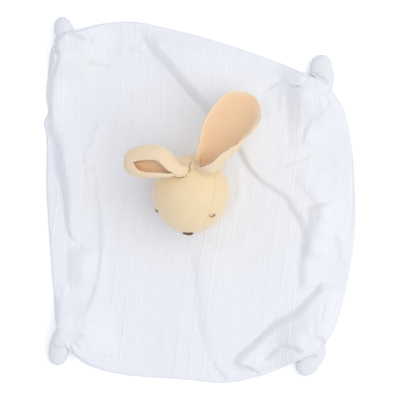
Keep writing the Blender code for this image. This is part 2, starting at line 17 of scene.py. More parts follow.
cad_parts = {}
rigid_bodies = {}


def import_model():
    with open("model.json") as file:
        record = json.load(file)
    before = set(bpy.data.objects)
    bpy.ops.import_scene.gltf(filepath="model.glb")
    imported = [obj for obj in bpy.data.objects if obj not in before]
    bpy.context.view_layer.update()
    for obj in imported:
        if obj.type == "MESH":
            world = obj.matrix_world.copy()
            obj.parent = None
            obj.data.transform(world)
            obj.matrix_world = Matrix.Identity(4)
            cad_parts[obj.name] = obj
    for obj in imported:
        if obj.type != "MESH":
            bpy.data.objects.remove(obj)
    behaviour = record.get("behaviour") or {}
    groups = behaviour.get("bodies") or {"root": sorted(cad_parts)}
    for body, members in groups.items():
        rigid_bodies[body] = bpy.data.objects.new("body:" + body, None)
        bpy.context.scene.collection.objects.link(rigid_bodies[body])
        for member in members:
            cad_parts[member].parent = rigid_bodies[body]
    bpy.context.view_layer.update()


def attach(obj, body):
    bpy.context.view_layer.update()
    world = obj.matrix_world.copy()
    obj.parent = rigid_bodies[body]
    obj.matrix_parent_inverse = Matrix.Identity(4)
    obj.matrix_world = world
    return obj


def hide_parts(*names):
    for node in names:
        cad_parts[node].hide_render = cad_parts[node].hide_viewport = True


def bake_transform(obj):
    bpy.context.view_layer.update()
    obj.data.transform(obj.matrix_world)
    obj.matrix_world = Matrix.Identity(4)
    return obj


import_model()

MM = 0.001
LOG = logging.getLogger("lovey")

Place = Callable[[np.ndarray, np.ndarray, int], np.ndarray]


# Shared craft: curves, sheets and finished pieces


def smooth_step(share: np.ndarray) -> np.ndarray:
    """An S-shaped rise from 0 to 1.

    Args:
        share: how far along, held between 0 and 1.

    Returns:
        The eased share.
    """
    held = np.clip(share, 0.0, 1.0)
    return held * held * (3 - 2 * held)


def quarter_round(share: np.ndarray) -> np.ndarray:
    """A quarter circle's rise from 0 to 1, steep at first, with the share held between 0 and 1."""
    return np.sqrt(np.maximum(1 - (1 - np.clip(share, 0.0, 1.0)) ** 2, 0))


def spline(points: np.ndarray, share: np.ndarray) -> np.ndarray:
    """Points of a Catmull-Rom curve.

    Args:
        points: the rows that the curve goes through.
        share: places from 0 to 1 along it.

    Returns:
        One row for each share.
    """
    points = np.asarray(points, float)
    padded = np.vstack([2 * points[0] - points[1], points, 2 * points[-1] - points[-2]])
    place = np.clip(np.asarray(share, float), 0, 1) * (len(points) - 1)
    start = np.minimum(place.astype(int), len(points) - 2)
    t = (place - start)[..., None]
    before, a, b, after = (padded[start + k] for k in range(4))
    return (
        b * (3 * t**2 - 2 * t**3)
        + a * (1 - 3 * t**2 + 2 * t**3)
        + (b - before) * ((t - 2 * t**2 + t**3) / 2)
        + (after - a) * ((t**3 - t**2) / 2)
    )


def even_spline(points: np.ndarray, count: int) -> np.ndarray:
    """Points spaced evenly along a smooth curve.

    Args:
        points: the rows that the curve goes through.
        count: how many steps it is divided into.

    Returns:
        count + 1 rows.
    """
    dense = spline(points, np.linspace(0, 1, 12 * count + 1))
    run = np.concatenate([[0.0], np.cumsum(np.linalg.norm(np.diff(dense, axis=0), axis=1))])
    wanted = np.linspace(0, run[-1], count + 1)
    return np.stack([np.interp(wanted, run, dense[:, axis]) for axis in range(dense.shape[1])], axis=1)


def heading(degrees: float) -> np.ndarray:
    """The unit vector in plan at an angle from +X."""
    return np.array((math.cos(math.radians(degrees)), math.sin(math.radians(degrees))))


def waves(places: np.ndarray, size: float, seed: float = 0.0) -> np.ndarray:
    """Smooth noise from -1 to 1.

    Args:
        places: rows of two or three coordinates.
        size: the width of one wave.
        seed: picks another part of the noise.

    Returns:
        One value for each row.
    """
    flat = places.shape[1] == 2
    return np.array([
        noise.noise(Vector((*(row / size), seed)) if flat else Vector(row / size) + Vector((seed,) * 3))
        for row in places
    ])


def from_line(places: np.ndarray, path: np.ndarray) -> tuple:
    """How places lie beside a line.

    Args:
        places: rows of coordinates.
        path: points of the line.

    Returns:
        Each place's distance, its share along the line, and its side in plan, 1 on the left and -1 on the
        right.
    """
    away = np.full(len(places), np.inf)
    along, side = np.zeros((2, len(places)))
    for index, (a, b) in enumerate(zip(path, path[1:])):
        run = b - a
        share = np.clip(((places - a) @ run) / max(run @ run, 1e-12), 0, 1)
        off = places - (a + share[:, None] * run)
        far = np.linalg.norm(off, axis=1)
        nearer = far < away
        away = np.where(nearer, far, away)
        along = np.where(nearer, (index + share) / (len(path) - 1), along)
        side = np.where(nearer, np.sign(run[0] * off[:, 1] - run[1] * off[:, 0]), side)
    return away, along, side


def face_outwards(bm: bmesh.types.BMesh) -> None:
    """Turn a closed mesh's faces away from its inside."""
    bmesh.ops.recalc_face_normals(bm, faces=bm.faces)
    if bm.calc_volume(signed=True) < 0:
        bmesh.ops.reverse_faces(bm, faces=bm.faces)


def shell(cells: tuple, place: Place, merge: float = 0.0, flat: Optional[Place] = None) -> bmesh.types.BMesh:
    """A closed sheet of two layers.

    Args:
        cells: how many cells it has each way.
        place: gives the points at shares u and v on layer 0, the outside, or 1, the inside.
        merge: points of the first layer nearer than this become one.
        flat: gives the cloth's own coordinates at u and v, for its UV map.

    Returns:
        The mesh, with its faces outwards.
    """
    bm = bmesh.new()
    bmesh.ops.create_grid(bm, x_segments=cells[0], y_segments=cells[1], size=1)
    shares = bm.verts.layers.float_vector.new("shares")
    for vertex in bm.verts:
        vertex[shares] = ((vertex.co.x + 1) / 2, (vertex.co.y + 1) / 2, 0)

    def lay(verts: list, layer: int) -> None:
        """Put the points of one layer in their places."""
        rows = np.array([vertex[shares][:2] for vertex in verts])
        for vertex, row in zip(verts, place(rows[:, 0], rows[:, 1], layer)):
            vertex.co = row

    lay(list(bm.verts), 0)
    if merge:
        bmesh.ops.remove_doubles(bm, verts=bm.verts, dist=merge)
    raised = bmesh.ops.extrude_face_region(bm, geom=bm.faces[:])["geom"]
    lay([each for each in raised if isinstance(each, bmesh.types.BMVert)], 1)
    face_outwards(bm)
    if flat:
        bm.verts.index_update()
        rows = np.array([vertex[shares][:2] for vertex in bm.verts])
        spots = flat(rows[:, 0], rows[:, 1], 0)
        uv = bm.loops.layers.uv.new("cloth")
        for face in bm.faces:
            for loop in face.loops:
                loop[uv].uv = spots[loop.vert.index]
    return bm


def add_object(name: str, data: bpy.types.ID) -> bpy.types.Object:
    """A new object in the scene."""
    obj = bpy.data.objects.new(name, data)
    bpy.context.scene.collection.objects.link(obj)
    return obj


def make_piece(
    name: str, bm: bmesh.types.BMesh, body: str, finish: "Finish", nodes: Sequence[str] = (), bend: tuple = ()
) -> bpy.types.Object:
    """Turn a bmesh in world coordinates into a finished piece.

    Args:
        name: the piece's name.
        bm: its shape, which is used up.
        body: the body that it rides on.
        finish: its material.
        nodes: the frame's nodes that it stands for.
        bend: for cloth across the body's joint, the other body, where the bend starts and where it ends; when
            it is given, the piece is left in place on no body and these values are not used.

    Returns:
        The new object.
    """
    mesh = bpy.data.meshes.new(name)
    bm.to_mesh(mesh)
    bm.free()
    mesh.shade_smooth()
    mesh.materials.append(finish.material())
    obj = add_object(name, mesh)
    if bend:
        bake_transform(obj)
    else:
        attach(obj, body)
    if nodes:
        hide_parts(*nodes)
    LOG.info("%s: %d faces, rides on %s", name, len(mesh.polygons), body)
    return obj


def fuse(bm: bmesh.types.BMesh, voxel: float, rounds: int) -> bmesh.types.BMesh:
    """Melt overlapping lumps into one skin.

    Args:
        bm: the lumps, which are used up.
        voxel: the size of the new faces.
        rounds: how often the new skin is smoothed.

    Returns:
        The skin.
    """
    mesh = bpy.data.meshes.new("lumps")
    bm.to_mesh(mesh)
    bm.free()
    obj = add_object("lumps", mesh)
    remesh = obj.modifiers.new("fuse", "REMESH")
    remesh.mode = "VOXEL"
    remesh.voxel_size = voxel
    skin = bpy.data.meshes.new_from_object(obj.evaluated_get(bpy.context.evaluated_depsgraph_get()))
    made = bmesh.new()
    made.from_mesh(skin)
    for data in (obj, mesh, skin):
        (bpy.data.objects if data is obj else bpy.data.meshes).remove(data)
    for _ in range(rounds):
        bmesh.ops.smooth_vert(
            made, verts=made.verts, factor=0.5, use_axis_x=True, use_axis_y=True, use_axis_z=True
        )
    face_outwards(made)
    return made


def add_bead(bm: bmesh.types.BMesh, centre: np.ndarray, sizes: np.ndarray, turn: float = 0.0) -> None:
    """Add one ellipsoid.

    Args:
        bm: the mesh that gets it.
        centre: its middle.
        sizes: its half sizes along, across and up.
        turn: its heading in degrees.
    """
    matrix = Matrix.Translation(Vector(centre)) @ Matrix.Rotation(math.radians(turn), 4, "Z")
    bmesh.ops.create_icosphere(bm, subdivisions=2, radius=1, matrix=matrix @ Matrix.Diagonal((*sizes, 1)))


def add_tube(bm: bmesh.types.BMesh, points: np.ndarray, radii: np.ndarray, sides: int = 8) -> None:
    """Add a round tube with closed ends.

    Args:
        bm: the mesh that gets it.
        points: its centreline.
        radii: its radius at each point.
        sides: how many sides it has.
    """
    rings = []
    for index, (point, radius) in enumerate(zip(points, radii)):
        ahead = Vector(points[min(index + 1, len(points) - 1)] - points[max(index - 1, 0)])
        turned = ahead.to_track_quat("Z", "Y").to_matrix().to_4x4()
        made = bmesh.ops.create_circle(
            bm, segments=sides, radius=max(radius, 1e-6), matrix=Matrix.Translation(Vector(point)) @ turned
        )
        rings.append(made["verts"])
    edges = [{edge for vertex in ring for edge in vertex.link_edges} for ring in rings]
    for before, after in zip(edges, edges[1:]):
        bmesh.ops.bridge_loops(bm, edges=[*before, *after])
    for ring in (rings[0], rings[-1]):
        bmesh.ops.contextual_create(bm, geom=ring)


def press_groove(bm: bmesh.types.BMesh, path: np.ndarray, depth: float, width: float) -> None:
    """Press a soft groove into a skin along a line.

    Args:
        bm: the skin.
        path: points of the line, on or near the skin.
        depth: how far it is pressed in.
        width: how wide it is on each side.
    """
    bm.normal_update()
    away, _, _ = from_line(np.array([vertex.co for vertex in bm.verts]), path)
    for vertex, off in zip(bm.verts, away):
        if off < 3 * width:
            vertex.co -= vertex.normal * (depth * math.exp(-((off / width) ** 2)))


# Finishes


WHITE = (1, 1, 1, 1)


class Shader:
    """A material or a world while its nodes are being laid out."""

    def __init__(self, owner: bpy.types.Material | bpy.types.World) -> None:
        """Start from the owner's own nodes."""
        owner.use_nodes = True
        self.owner = owner
        self.tree = owner.node_tree
        self.bsdf = self.tree.nodes.get("Principled BSDF")

    def set(self, node: bpy.types.Node, **inputs: object) -> bpy.types.Node:
        """Give a node settings or inputs by name.

        Args:
            node: the node.
            inputs: values for its properties or, with spaces as underscores, its sockets.

        Returns:
            The node.
        """
        for name, value in inputs.items():
            if hasattr(node, name):
                setattr(node, name, value)
            else:
                self.feed(node.inputs[name.replace("_", " ")], value)
        return node

    def add(self, kind: str, **inputs: object) -> bpy.types.Node:
        """A new node of a kind, with settings or inputs by name."""
        return self.set(self.tree.nodes.new(kind), **inputs)

    def feed(self, socket: bpy.types.NodeSocket, value: object) -> None:
        """Give a socket a link or a value."""
        if isinstance(value, bpy.types.NodeSocket):
            self.tree.links.new(value, socket)
        else:
            socket.default_value = value

    def math(self, operation: str, *values: object) -> bpy.types.NodeSocket:
        """The result of a Math node.

        Args:
            operation: what it does.
            values: its one to three inputs.

        Returns:
            Its output.
        """
        node = self.add("ShaderNodeMath", operation=operation)
        for socket, value in zip(node.inputs, values):
            self.feed(socket, value)
        return node.outputs[0]

    def total(self, *parts: tuple) -> bpy.types.NodeSocket:
        """The sum of values, each given with its weight."""
        weighed = [value if weight == 1 else self.math("MULTIPLY", value, weight) for value, weight in parts]
        result = weighed[0]
        for part in weighed[1:]:
            result = self.math("ADD", result, part)
        return result

    def seen(self, *rays: str) -> bpy.types.NodeSocket:
        """1 where the ray is of one of these kinds, and 0 elsewhere."""
        path = self.add("ShaderNodeLightPath")
        result = path.outputs[rays[0]]
        for ray in rays[1:]:
            result = self.math("MAXIMUM", result, path.outputs[ray])
        return result

    def axes(self, where: bpy.types.NodeSocket) -> tuple:
        """The three coordinates of a place."""
        return tuple(self.add("ShaderNodeSeparateXYZ", Vector=where).outputs)

    def cloth(self) -> tuple:
        """The cloth's own coordinates, across and along."""
        return self.axes(self.add("ShaderNodeUVMap", uv_map="cloth").outputs[0])[:2]

    def noise(self, where: bpy.types.NodeSocket, size: float, detail: float = 3.0) -> bpy.types.NodeSocket:
        """Noise whose grains are about size metres wide."""
        node = self.add("ShaderNodeTexNoise", Vector=where, Scale=1 / size, Detail=detail)
        return node.outputs["Fac"]

    def spread(
        self, value: object, low: float, high: float, to_low: float = 0.0, to_high: float = 1.0
    ) -> bpy.types.NodeSocket:
        """Spread a value's range smoothly over another."""
        node = self.add(
            "ShaderNodeMapRange", interpolation_type="SMOOTHSTEP", Value=value,
            From_Min=low, From_Max=high, To_Min=to_low, To_Max=to_high,
        )
        return node.outputs["Result"]

    def mix(self, share: object, a: object, b: object) -> bpy.types.NodeSocket:
        """A blend of two colours."""
        node = self.add("ShaderNodeMix", data_type="RGBA")
        for index, value in ((0, share), (6, a), (7, b)):
            self.feed(node.inputs[index], value)
        return node.outputs[2]

    def finish(
        self, colour: object, roughness: object, height: object, distance: float
    ) -> bpy.types.Material:
        """Link the shader up.

        Args:
            colour: the base colour.
            roughness: the roughness.
            height: the height that the bump reads.
            distance: how deep the bump is, in metres.

        Returns:
            The material.
        """
        bump = self.add("ShaderNodeBump", Height=height, Distance=distance, Strength=1.0)
        self.set(self.bsdf, Base_Color=colour, Roughness=roughness, Normal=bump.outputs["Normal"])
        return self.owner


@dataclass(frozen=True)
class Finish:
    """One finish: the record's slot that it fills and its colours."""

    slot: str
    name: str
    colour: tuple
    shade: tuple
    sheen: float = 0.0

    def material(self) -> bpy.types.Material:
        """The material, made once."""
        return bpy.data.materials.get(self.name) or self.build(Shader(bpy.data.materials.new(self.name)))

    def build(self, shader: Shader) -> bpy.types.Material:
        """Lay out the nodes."""
        raise NotImplementedError

    def fabric(self, shader: Shader) -> bpy.types.NodeSocket:
        """Set what every fabric shares, and give the object's own coordinates."""
        shader.set(shader.bsdf, Specular_IOR_Level=0.2, Sheen_Weight=self.sheen, Sheen_Roughness=0.45)
        return shader.add("ShaderNodeTexCoord").outputs["Object"]

    def tinted(self, shader: Shader, share: object) -> bpy.types.NodeSocket:
        """The finish's colour, from its shade at 0 to its full colour at 1."""
        return shader.mix(share, (*self.shade, 1), (*self.colour, 1))


@dataclass(frozen=True)
class KnitFinish(Finish):
    """White cotton knit. The ribbed kind has light ribs with a ladder of stitches between them."""

    ribbed: bool = False
    rib_pitch: float = 13.9 * MM
    ladder_pitch: float = 3.4 * MM
    wale_pitch: float = 1.7 * MM
    wobble: float = 3 * MM
    bump: float = 0.35 * MM

    def build(self, shader: Shader) -> bpy.types.Material:
        """Lay out the nodes."""
        where = self.fabric(shader)
        fuzz = shader.noise(where, 0.6 * MM, 4)
        cloud = shader.noise(where, 28 * MM, 2)
        if self.ribbed:
            across, along = shader.cloth()
            wobble = shader.math("MULTIPLY", shader.math("SUBTRACT", cloud, 0.5), self.wobble)
            across = shader.math("ADD", across, wobble)
            rib = self.line(shader, across, self.rib_pitch, 0.0, 0.10)
            half = self.line(shader, across, self.rib_pitch, 0.47, 0.07)
            quarter = self.line(shader, across, self.rib_pitch, 0.24, 0.05)
            rungs = self.line(shader, along, self.ladder_pitch, 0.0, 0.55)
            broken = shader.spread(shader.noise(where, 22 * MM, 1), 0.42, 0.62)
            ladder = shader.math("MULTIPLY", shader.math("MULTIPLY", half, rungs), broken)
            worn = shader.spread(shader.noise(where, 15 * MM, 1), 0.30, 0.60, 0.35, 1.0)
            pattern = shader.total((shader.math("MULTIPLY", rib, worn), 1), (ladder, 0.6), (quarter, 0.25))
        else:
            across, along, _ = shader.axes(where)
            pattern = shader.math("MULTIPLY", cloud, 0.3)
        wale = self.line(shader, across, self.wale_pitch, 0.0, 0.5)
        course = self.line(shader, along, self.wale_pitch * 0.8, 0.0, 0.5)
        stitch = shader.math("MULTIPLY", wale, shader.math("ADD", shader.math("MULTIPLY", course, 0.5), 0.5))
        colour = self.tinted(shader, shader.spread(shader.total((pattern, 1), (cloud, 0.35)), 0.0, 1.2))
        height = shader.total((pattern, 0.9), (stitch, 0.35), (fuzz, 0.35))
        return shader.finish(colour, shader.spread(fuzz, 0.2, 0.8, 0.85, 1.0), height, self.bump)

    @staticmethod
    def line(
        shader: Shader, along: object, pitch: float, offset: float, width: float
    ) -> bpy.types.NodeSocket:
        """Soft parallel lines: 1 on each line and 0 between them.

        Args:
            shader: where the nodes go.
            along: the coordinate across the lines.
            pitch: how far apart they are.
            offset: a share of the pitch by which they are moved.
            width: each line's share of the pitch on either side.

        Returns:
            The lines.
        """
        turns = shader.math("ADD", shader.math("DIVIDE", along, pitch), offset + 0.5)
        away = shader.math("ABSOLUTE", shader.math("SUBTRACT", shader.math("FRACT", turns), 0.5))
        return shader.spread(away, 0.0, width, 1.0, 0.0)


@dataclass(frozen=True)
class PileFinish(Finish):
    """Short-pile velour or plush, with the pile's lay as soft marks. Where an edge colour is given, the cloth
    is painted lighter near its edge and darker further in: painted light at the rim and painted shade in the
    hollow.
    """

    pile: float = 0.5 * MM
    marks: float = 9 * MM
    # edge: the lighter colour painted near the cloth's edge, as painted light; the darker colour further in is
    # painted shade.
    edge: Optional[tuple] = None
    painted_lit_edge_width: float = 11 * MM
    bump: float = 0.22 * MM

    def build(self, shader: Shader) -> bpy.types.Material:
        """Lay out the nodes."""
        where = self.fabric(shader)
        pile = shader.noise(where, self.pile, 3)
        marks = shader.noise(where, self.marks, 3)
        colour = self.tinted(shader, shader.spread(shader.total((pile, 0.45), (marks, 0.55)), 0.25, 0.75))
        # Painted light and shade: the edge colour near the edge, fading over the width into the darker colour
        # deep in the hollow.
        if self.edge:
            from_edge, _ = shader.cloth()
            colour = shader.mix(shader.spread(from_edge, 0.0, self.painted_lit_edge_width), (*self.edge, 1), colour)
        height = shader.total((pile, 1), (marks, 0.8))
        return shader.finish(colour, shader.spread(pile, 0.2, 0.8, 0.8, 1.0), height, self.bump)


@dataclass(frozen=True)
class ThreadFinish(Finish):
    """Twisted sewing thread."""

    twist: float = 0.5 * MM

    def build(self, shader: Shader) -> bpy.types.Material:
        """Lay out the nodes."""
        where = self.fabric(shader)
        x, y, z = shader.axes(where)
        slant = shader.math("ADD", x, shader.math("ADD", y, z))
        ply = KnitFinish.line(shader, slant, self.twist, 0.0, 0.5)
        grain = shader.noise(where, 0.3 * MM, 2)
        colour = self.tinted(shader, shader.math("MULTIPLY", ply, grain))
        return shader.finish(colour, shader.spread(grain, 0.2, 0.8, 0.45, 0.7), ply, 0.1 * MM)


@dataclass(frozen=True)
class WaddingFinish(Finish):
    """Loose white filling."""

    def build(self, shader: Shader) -> bpy.types.Material:
        """Lay out the nodes."""
        tufts = shader.noise(self.fabric(shader), 4 * MM, 5)
        colour = self.tinted(shader, tufts)
        return shader.finish(colour, shader.spread(tufts, 0.2, 0.8, 0.9, 1.0), tufts, 1.0 * MM)


RIBBED_KNIT = KnitFinish(
    "white_knit", "ribbed_knit", (0.905, 0.909, 0.914), (0.87, 0.875, 0.888), 0.12, ribbed=True
)
PLAIN_KNIT = KnitFinish("white_knit", "plain_knit", (0.865, 0.867, 0.872), (0.825, 0.828, 0.842), 0.12)
VELOUR = PileFinish("cream_velour", "velour", (0.92, 0.74, 0.465), (0.89, 0.70, 0.425), 0.8)
EAR_VELOUR = PileFinish("cream_velour", "ear_velour", (0.93, 0.745, 0.51), (0.90, 0.70, 0.46), 0.4)
# The lining is painted lighter towards its edge and darker deep in the ear's hollow, as painted light and
# shade.
LINING = PileFinish(
    "apricot_lining", "lining", (0.90, 0.62, 0.375), (0.87, 0.585, 0.34), 0.35,
    marks=12 * MM, edge=(0.92, 0.71, 0.48),
)
BROWN_THREAD = ThreadFinish("brown_thread", "brown_silk", (0.37, 0.185, 0.14), (0.19, 0.085, 0.065), 0.1)
TAN_THREAD = ThreadFinish("brown_thread", "tan_cotton", (0.50, 0.30, 0.17), (0.32, 0.18, 0.10), 0.1)
WHITE_THREAD = ThreadFinish("white_thread", "white_cotton", (0.84, 0.84, 0.86), (0.6, 0.6, 0.64), 0.0)
WADDING = WaddingFinish("wadding", "loose_wadding", (0.88, 0.88, 0.86), (0.7, 0.7, 0.69), 0.1)


# Blanket

FOOT_STEEPNESS = 1.45


@dataclass(frozen=True)
class Corner:
    """One knotted corner. Its lines are in millimetres ahead of the knot along its tail, to the left and up."""

    name: str
    place: tuple
    tail_turn: float
    nub: tuple
    wraps: tuple
    creases: tuple
    nub_creases: tuple
    bend: tuple = ()


BAND = ((3, -10.5, 3), (4.5, -5.5, 10), (5, 0, 12), (4.5, 5.5, 10), (3, 10.5, 3))
CORNERS = (
    Corner(
        "top_left", (-0.849, 0.866), 100,
        nub=((1, 1, 7.5, 8.5, 6.5), (8, 1.5, 7.2, 9.2, 6.9), (14, 1.6, 7.2, 9.4, 6.9),
             (17.5, 1.8, 6.6, 7.6, 6.2)),
        wraps=((BAND, 3.0), (((-4, 10, 4), (4, 5, 10.5), (7, -4, 11), (6, -10, 4)), 2.2)),
        creases=(((6.5, 11), (8.5, 3), (8, -6), (5, -12)),),
        nub_creases=(),
    ),
    Corner(
        "top_right", (0.759, 0.614), 84,
        nub=((-3, -5.5, 8, 8.4, 6.8), (5, -5.6, 8, 8.8, 7.2), (12, -4.4, 7.8, 10.2, 7.4),
             (19, -1.6, 7.6, 11.0, 7.2), (22.5, -0.2, 7.4, 10.4, 7.0),
             (19, 2.6, 7.2, 8.0, 6.6), (15.5, 4.6, 6.8, 6.0, 6.2)),
        wraps=((((-9, -10, 3), (-3, -7, 9), (2, 0, 11), (4, 6, 9), (3, 10.5, 3)), 3.2),),
        creases=(((-3.5, -9), (-5.5, -4), (-6.5, 1), (-7, 6)), ((-7.5, -6), (-6.2, -2))),
        nub_creases=(((13.5, 9.5), (11.5, 4), (8.5, -1), (5, -7.5)),),
    ),
    Corner(
        "bottom_right", (0.727, -0.800), 250,
        nub=((2, 5.4, 7.6, 8.6, 6.8), (10, 4.0, 7.6, 9.6, 7.2), (17, 1.6, 7.4, 10.2, 7.2),
             (21.5, -1.0, 7.0, 9.6, 6.8)),
        wraps=((BAND, 3.2), (((-8, -9, 3), (-4, -5, 10), (-4, 4, 10), (-7, 9, 3)), 2.6)),
        creases=(((-10, -3.6), (-10.5, 2), (-9, 6.5), (-2, 8.5), (2, 8.5)),
                 ((8.6, -11), (8.4, -4), (8.2, 2), (7, 9))),
        nub_creases=(((10.5, -8), (8.8, -3), (8.4, 4)),),
    ),
    Corner(
        "bottom_left", (-0.830, -0.740), 247,
        nub=((-4.4, -10.0, 12.4, 4.4, 4.6), (2, -8.6, 12.6, 7.4, 7.2), (9, -7.0, 10.8, 9.0, 7.8),
             (17, -5.2, 8.2, 10.4, 7.7), (23.5, -3.4, 7.0, 9.4, 6.8)),
        wraps=((((-1, -11, 4), (0, -6, 10), (0, -1, 12), (-4, 6, 10), (-7.5, 11, 5)), 2.3),
               (((6, -3, 4), (5, 3, 9), (0, 8, 9), (-5, 11, 3)), 2.4)),
        creases=(((2.6, -13), (3.2, -6), (3.2, 0), (8, 2)), ((-3.4, -9), (-3.2, -1), (-7, 6), (-10, 12))),
        nub_creases=(((15.4, -12), (14.3, -5), (11.2, 0)),),
        bend=(5, 16),
    ),
)


class FoldKind(Enum):
    """How a fold stands up along its line."""

    STEP = "a steep foot to the left of the line, then a slow fall"
    RIDGE = "a rounded ridge on the line"
    CREASE = "a narrow valley on the line"


@dataclass(frozen=True)
class Fold:
    """One fold of the cloth, in millimetres in plan: face is its steep side's width and back its slow side's.

    The height and the face may be rows of values from the path's start to its end.
    """

    path: tuple
    height: float | tuple
    face: float | tuple
    back: float
    ends: float = 0.12
    to_edge: bool = False
    kind: FoldKind = FoldKind.STEP

    def lift(self, places: np.ndarray) -> np.ndarray:
        """How far the fold lifts the cloth.

        Args:
            places: rows of plan places in metres.

        Returns:
            The lift in metres at each place.
        """
        path = spline(np.array(self.path, float) * MM, np.linspace(0, 1, 6 * (len(self.path) - 1) + 1))
        reach = (np.max(self.face) + 2.5 * self.back) * MM
        near = np.all((places > path.min(axis=0) - reach) & (places < path.max(axis=0) + reach), axis=1)
        lift = np.zeros(len(places))
        if near.any():
            lift[near] = self.rise(places[near], path)
        return lift

    def rise(self, places: np.ndarray, path: np.ndarray) -> np.ndarray:
        """The lift at places near the fold.

        Args:
            places: rows of plan places in metres.
            path: points of the fold's line.

        Returns:
            The lift in metres at each place.
        """
        away, along, side = from_line(places, path)
        ends = smooth_step(along / self.ends) * smooth_step((1 - along) / self.ends)
        height, face = (
            np.interp(along, np.linspace(0, 1, len(sizes)), sizes) * MM
            for sizes in (np.atleast_1d(self.height), np.atleast_1d(self.face))
        )
        back = self.back * MM
        if self.kind is FoldKind.STEP:
            foot = 1 - (1 - np.clip(away / face, 0, 1)) ** FOOT_STEEPNESS
            rise = foot * np.exp(-((np.maximum(away - face, 0) / back) ** 2)) * (side > 0)
        else:
            rise = np.exp(-((away / np.where(side > 0, back, face)) ** 2))
        return height * ends * rise * (-1 if self.kind is FoldKind.CREASE else 1)


def folds(kind: FoldKind, *rows: tuple) -> tuple:
    """Folds of one kind, each from its path, height, face, back and further sizes."""
    return tuple(Fold(*row, kind=kind) for row in rows)


# The cloth's outline, clockwise from the top left knot, in shares of half its width and half its length.
EDGES = {
    "top": ((-0.772, 0.932), (-0.643, 0.962), (-0.424, 0.975), (-0.180, 0.934), (0.122, 0.866), (0.492,
     0.758), (0.688, 0.685)),
    "right": ((0.862, 0.586), (0.939, 0.460), (0.984, 0.230), (1.000, -0.121), (0.952, -0.433), (0.887,
     -0.652), (0.817, -0.773)),
    "bottom": ((0.605, -0.888), (0.412, -0.957), (0.161, -1.000), (-0.138, -0.979), (-0.466, -0.959),
     (-0.695, -0.912), (-0.810, -0.844)),
    "left": ((-0.926, -0.668), (-0.936, -0.548), (-0.965, -0.219), (-0.984, 0.055), (-0.984, 0.329),
     (-0.999, 0.420), (-0.973, 0.490), (-0.986, 0.560), (-0.980, 0.650), (-0.961, 0.800), (-0.920, 0.877)),
}
# The folds that the photograph shows from far off, and the wrinkles between them.
MAIN_FOLDS = folds(
    FoldKind.STEP,
    (((-62, 176), (-56, 160), (-48, 147), (-36, 134), (-24, 120), (-10, 104), (8, 86), (24, 65), (38, 49),
     (46.5, 33), (60.5, 18), (74.5, 8.8), (84.5, 0.8), (90, -9), (97, -20), (101, -31), (102, -44)), (6, 8,
     9.5, 10.5, 10.5, 10.5, 10, 8.6, 6.8, 5.2, 4.4, 4.2, 4.8, 5.6, 5.6, 4.5, 2.5), (13, 12, 10, 9.5, 9.5, 9,
     8, 7, 5.5, 4.0, 3.4, 3.4, 4.6, 6.6, 7, 7, 7), 44, 0.04),
    (((106, -6), (107.5, -14), (106.5, -28), (102.5, -45), (102, -64)), 6.4, 11, 14, 0.2),
    (((103, -34), (100, -52), (98, -72), (100, -94)), 4.4, 8, 15, 0.2),
    (((120, -80), (116.5, -88), (106.5, -98), (94.6, -110), (80.7, -118), (68.7, -126), (54.8, -140), (44.8,
     -148), (35, -157), (31, -168)), 7.2, (4, 6, 7, 7.5, 7.5, 7, 6.5, 7, 9, 9), 34, 0.1),
    (((-152, 80), (-151, 68), (-149.5, 60), (-147.5, 50), (-144.5, 30), (-138.5, 12), (-134.5, -16),
     (-132.5, -28), (-129.5, -37), (-124.5, -45)), (4, 5.5, 8.5, 10.5, 11.5, 10.5, 6.5, 4.2, 3.4, 2.6), (3,
     3.5, 7, 11, 13.5, 11, 5.5, 3.4, 2.6, 2), 22, 0.1),
    (((-131, -44), (-132.5, -60), (-132.5, -78), (-127, -95)), 5.4, 16, 12, 0.2),
    (((-108, 80), (-116, 49), (-116, 20), (-106, -5), (-103, -46), (-106, -75), (-119, -124)), 1.2, 8, 34),
    (((-13, -36), (-9, -57), (-5, -84), (-2, -120), (4, -145), (10, -168)), 2.4, 9, 30, 0.25),
    (((88, 118), (87, 84), (89.5, 46)), 3.8, 12, 22, 0.2),
    (((59, 108), (62, 90), (68, 74)), 2.4, 9, 16, 0.3),
)
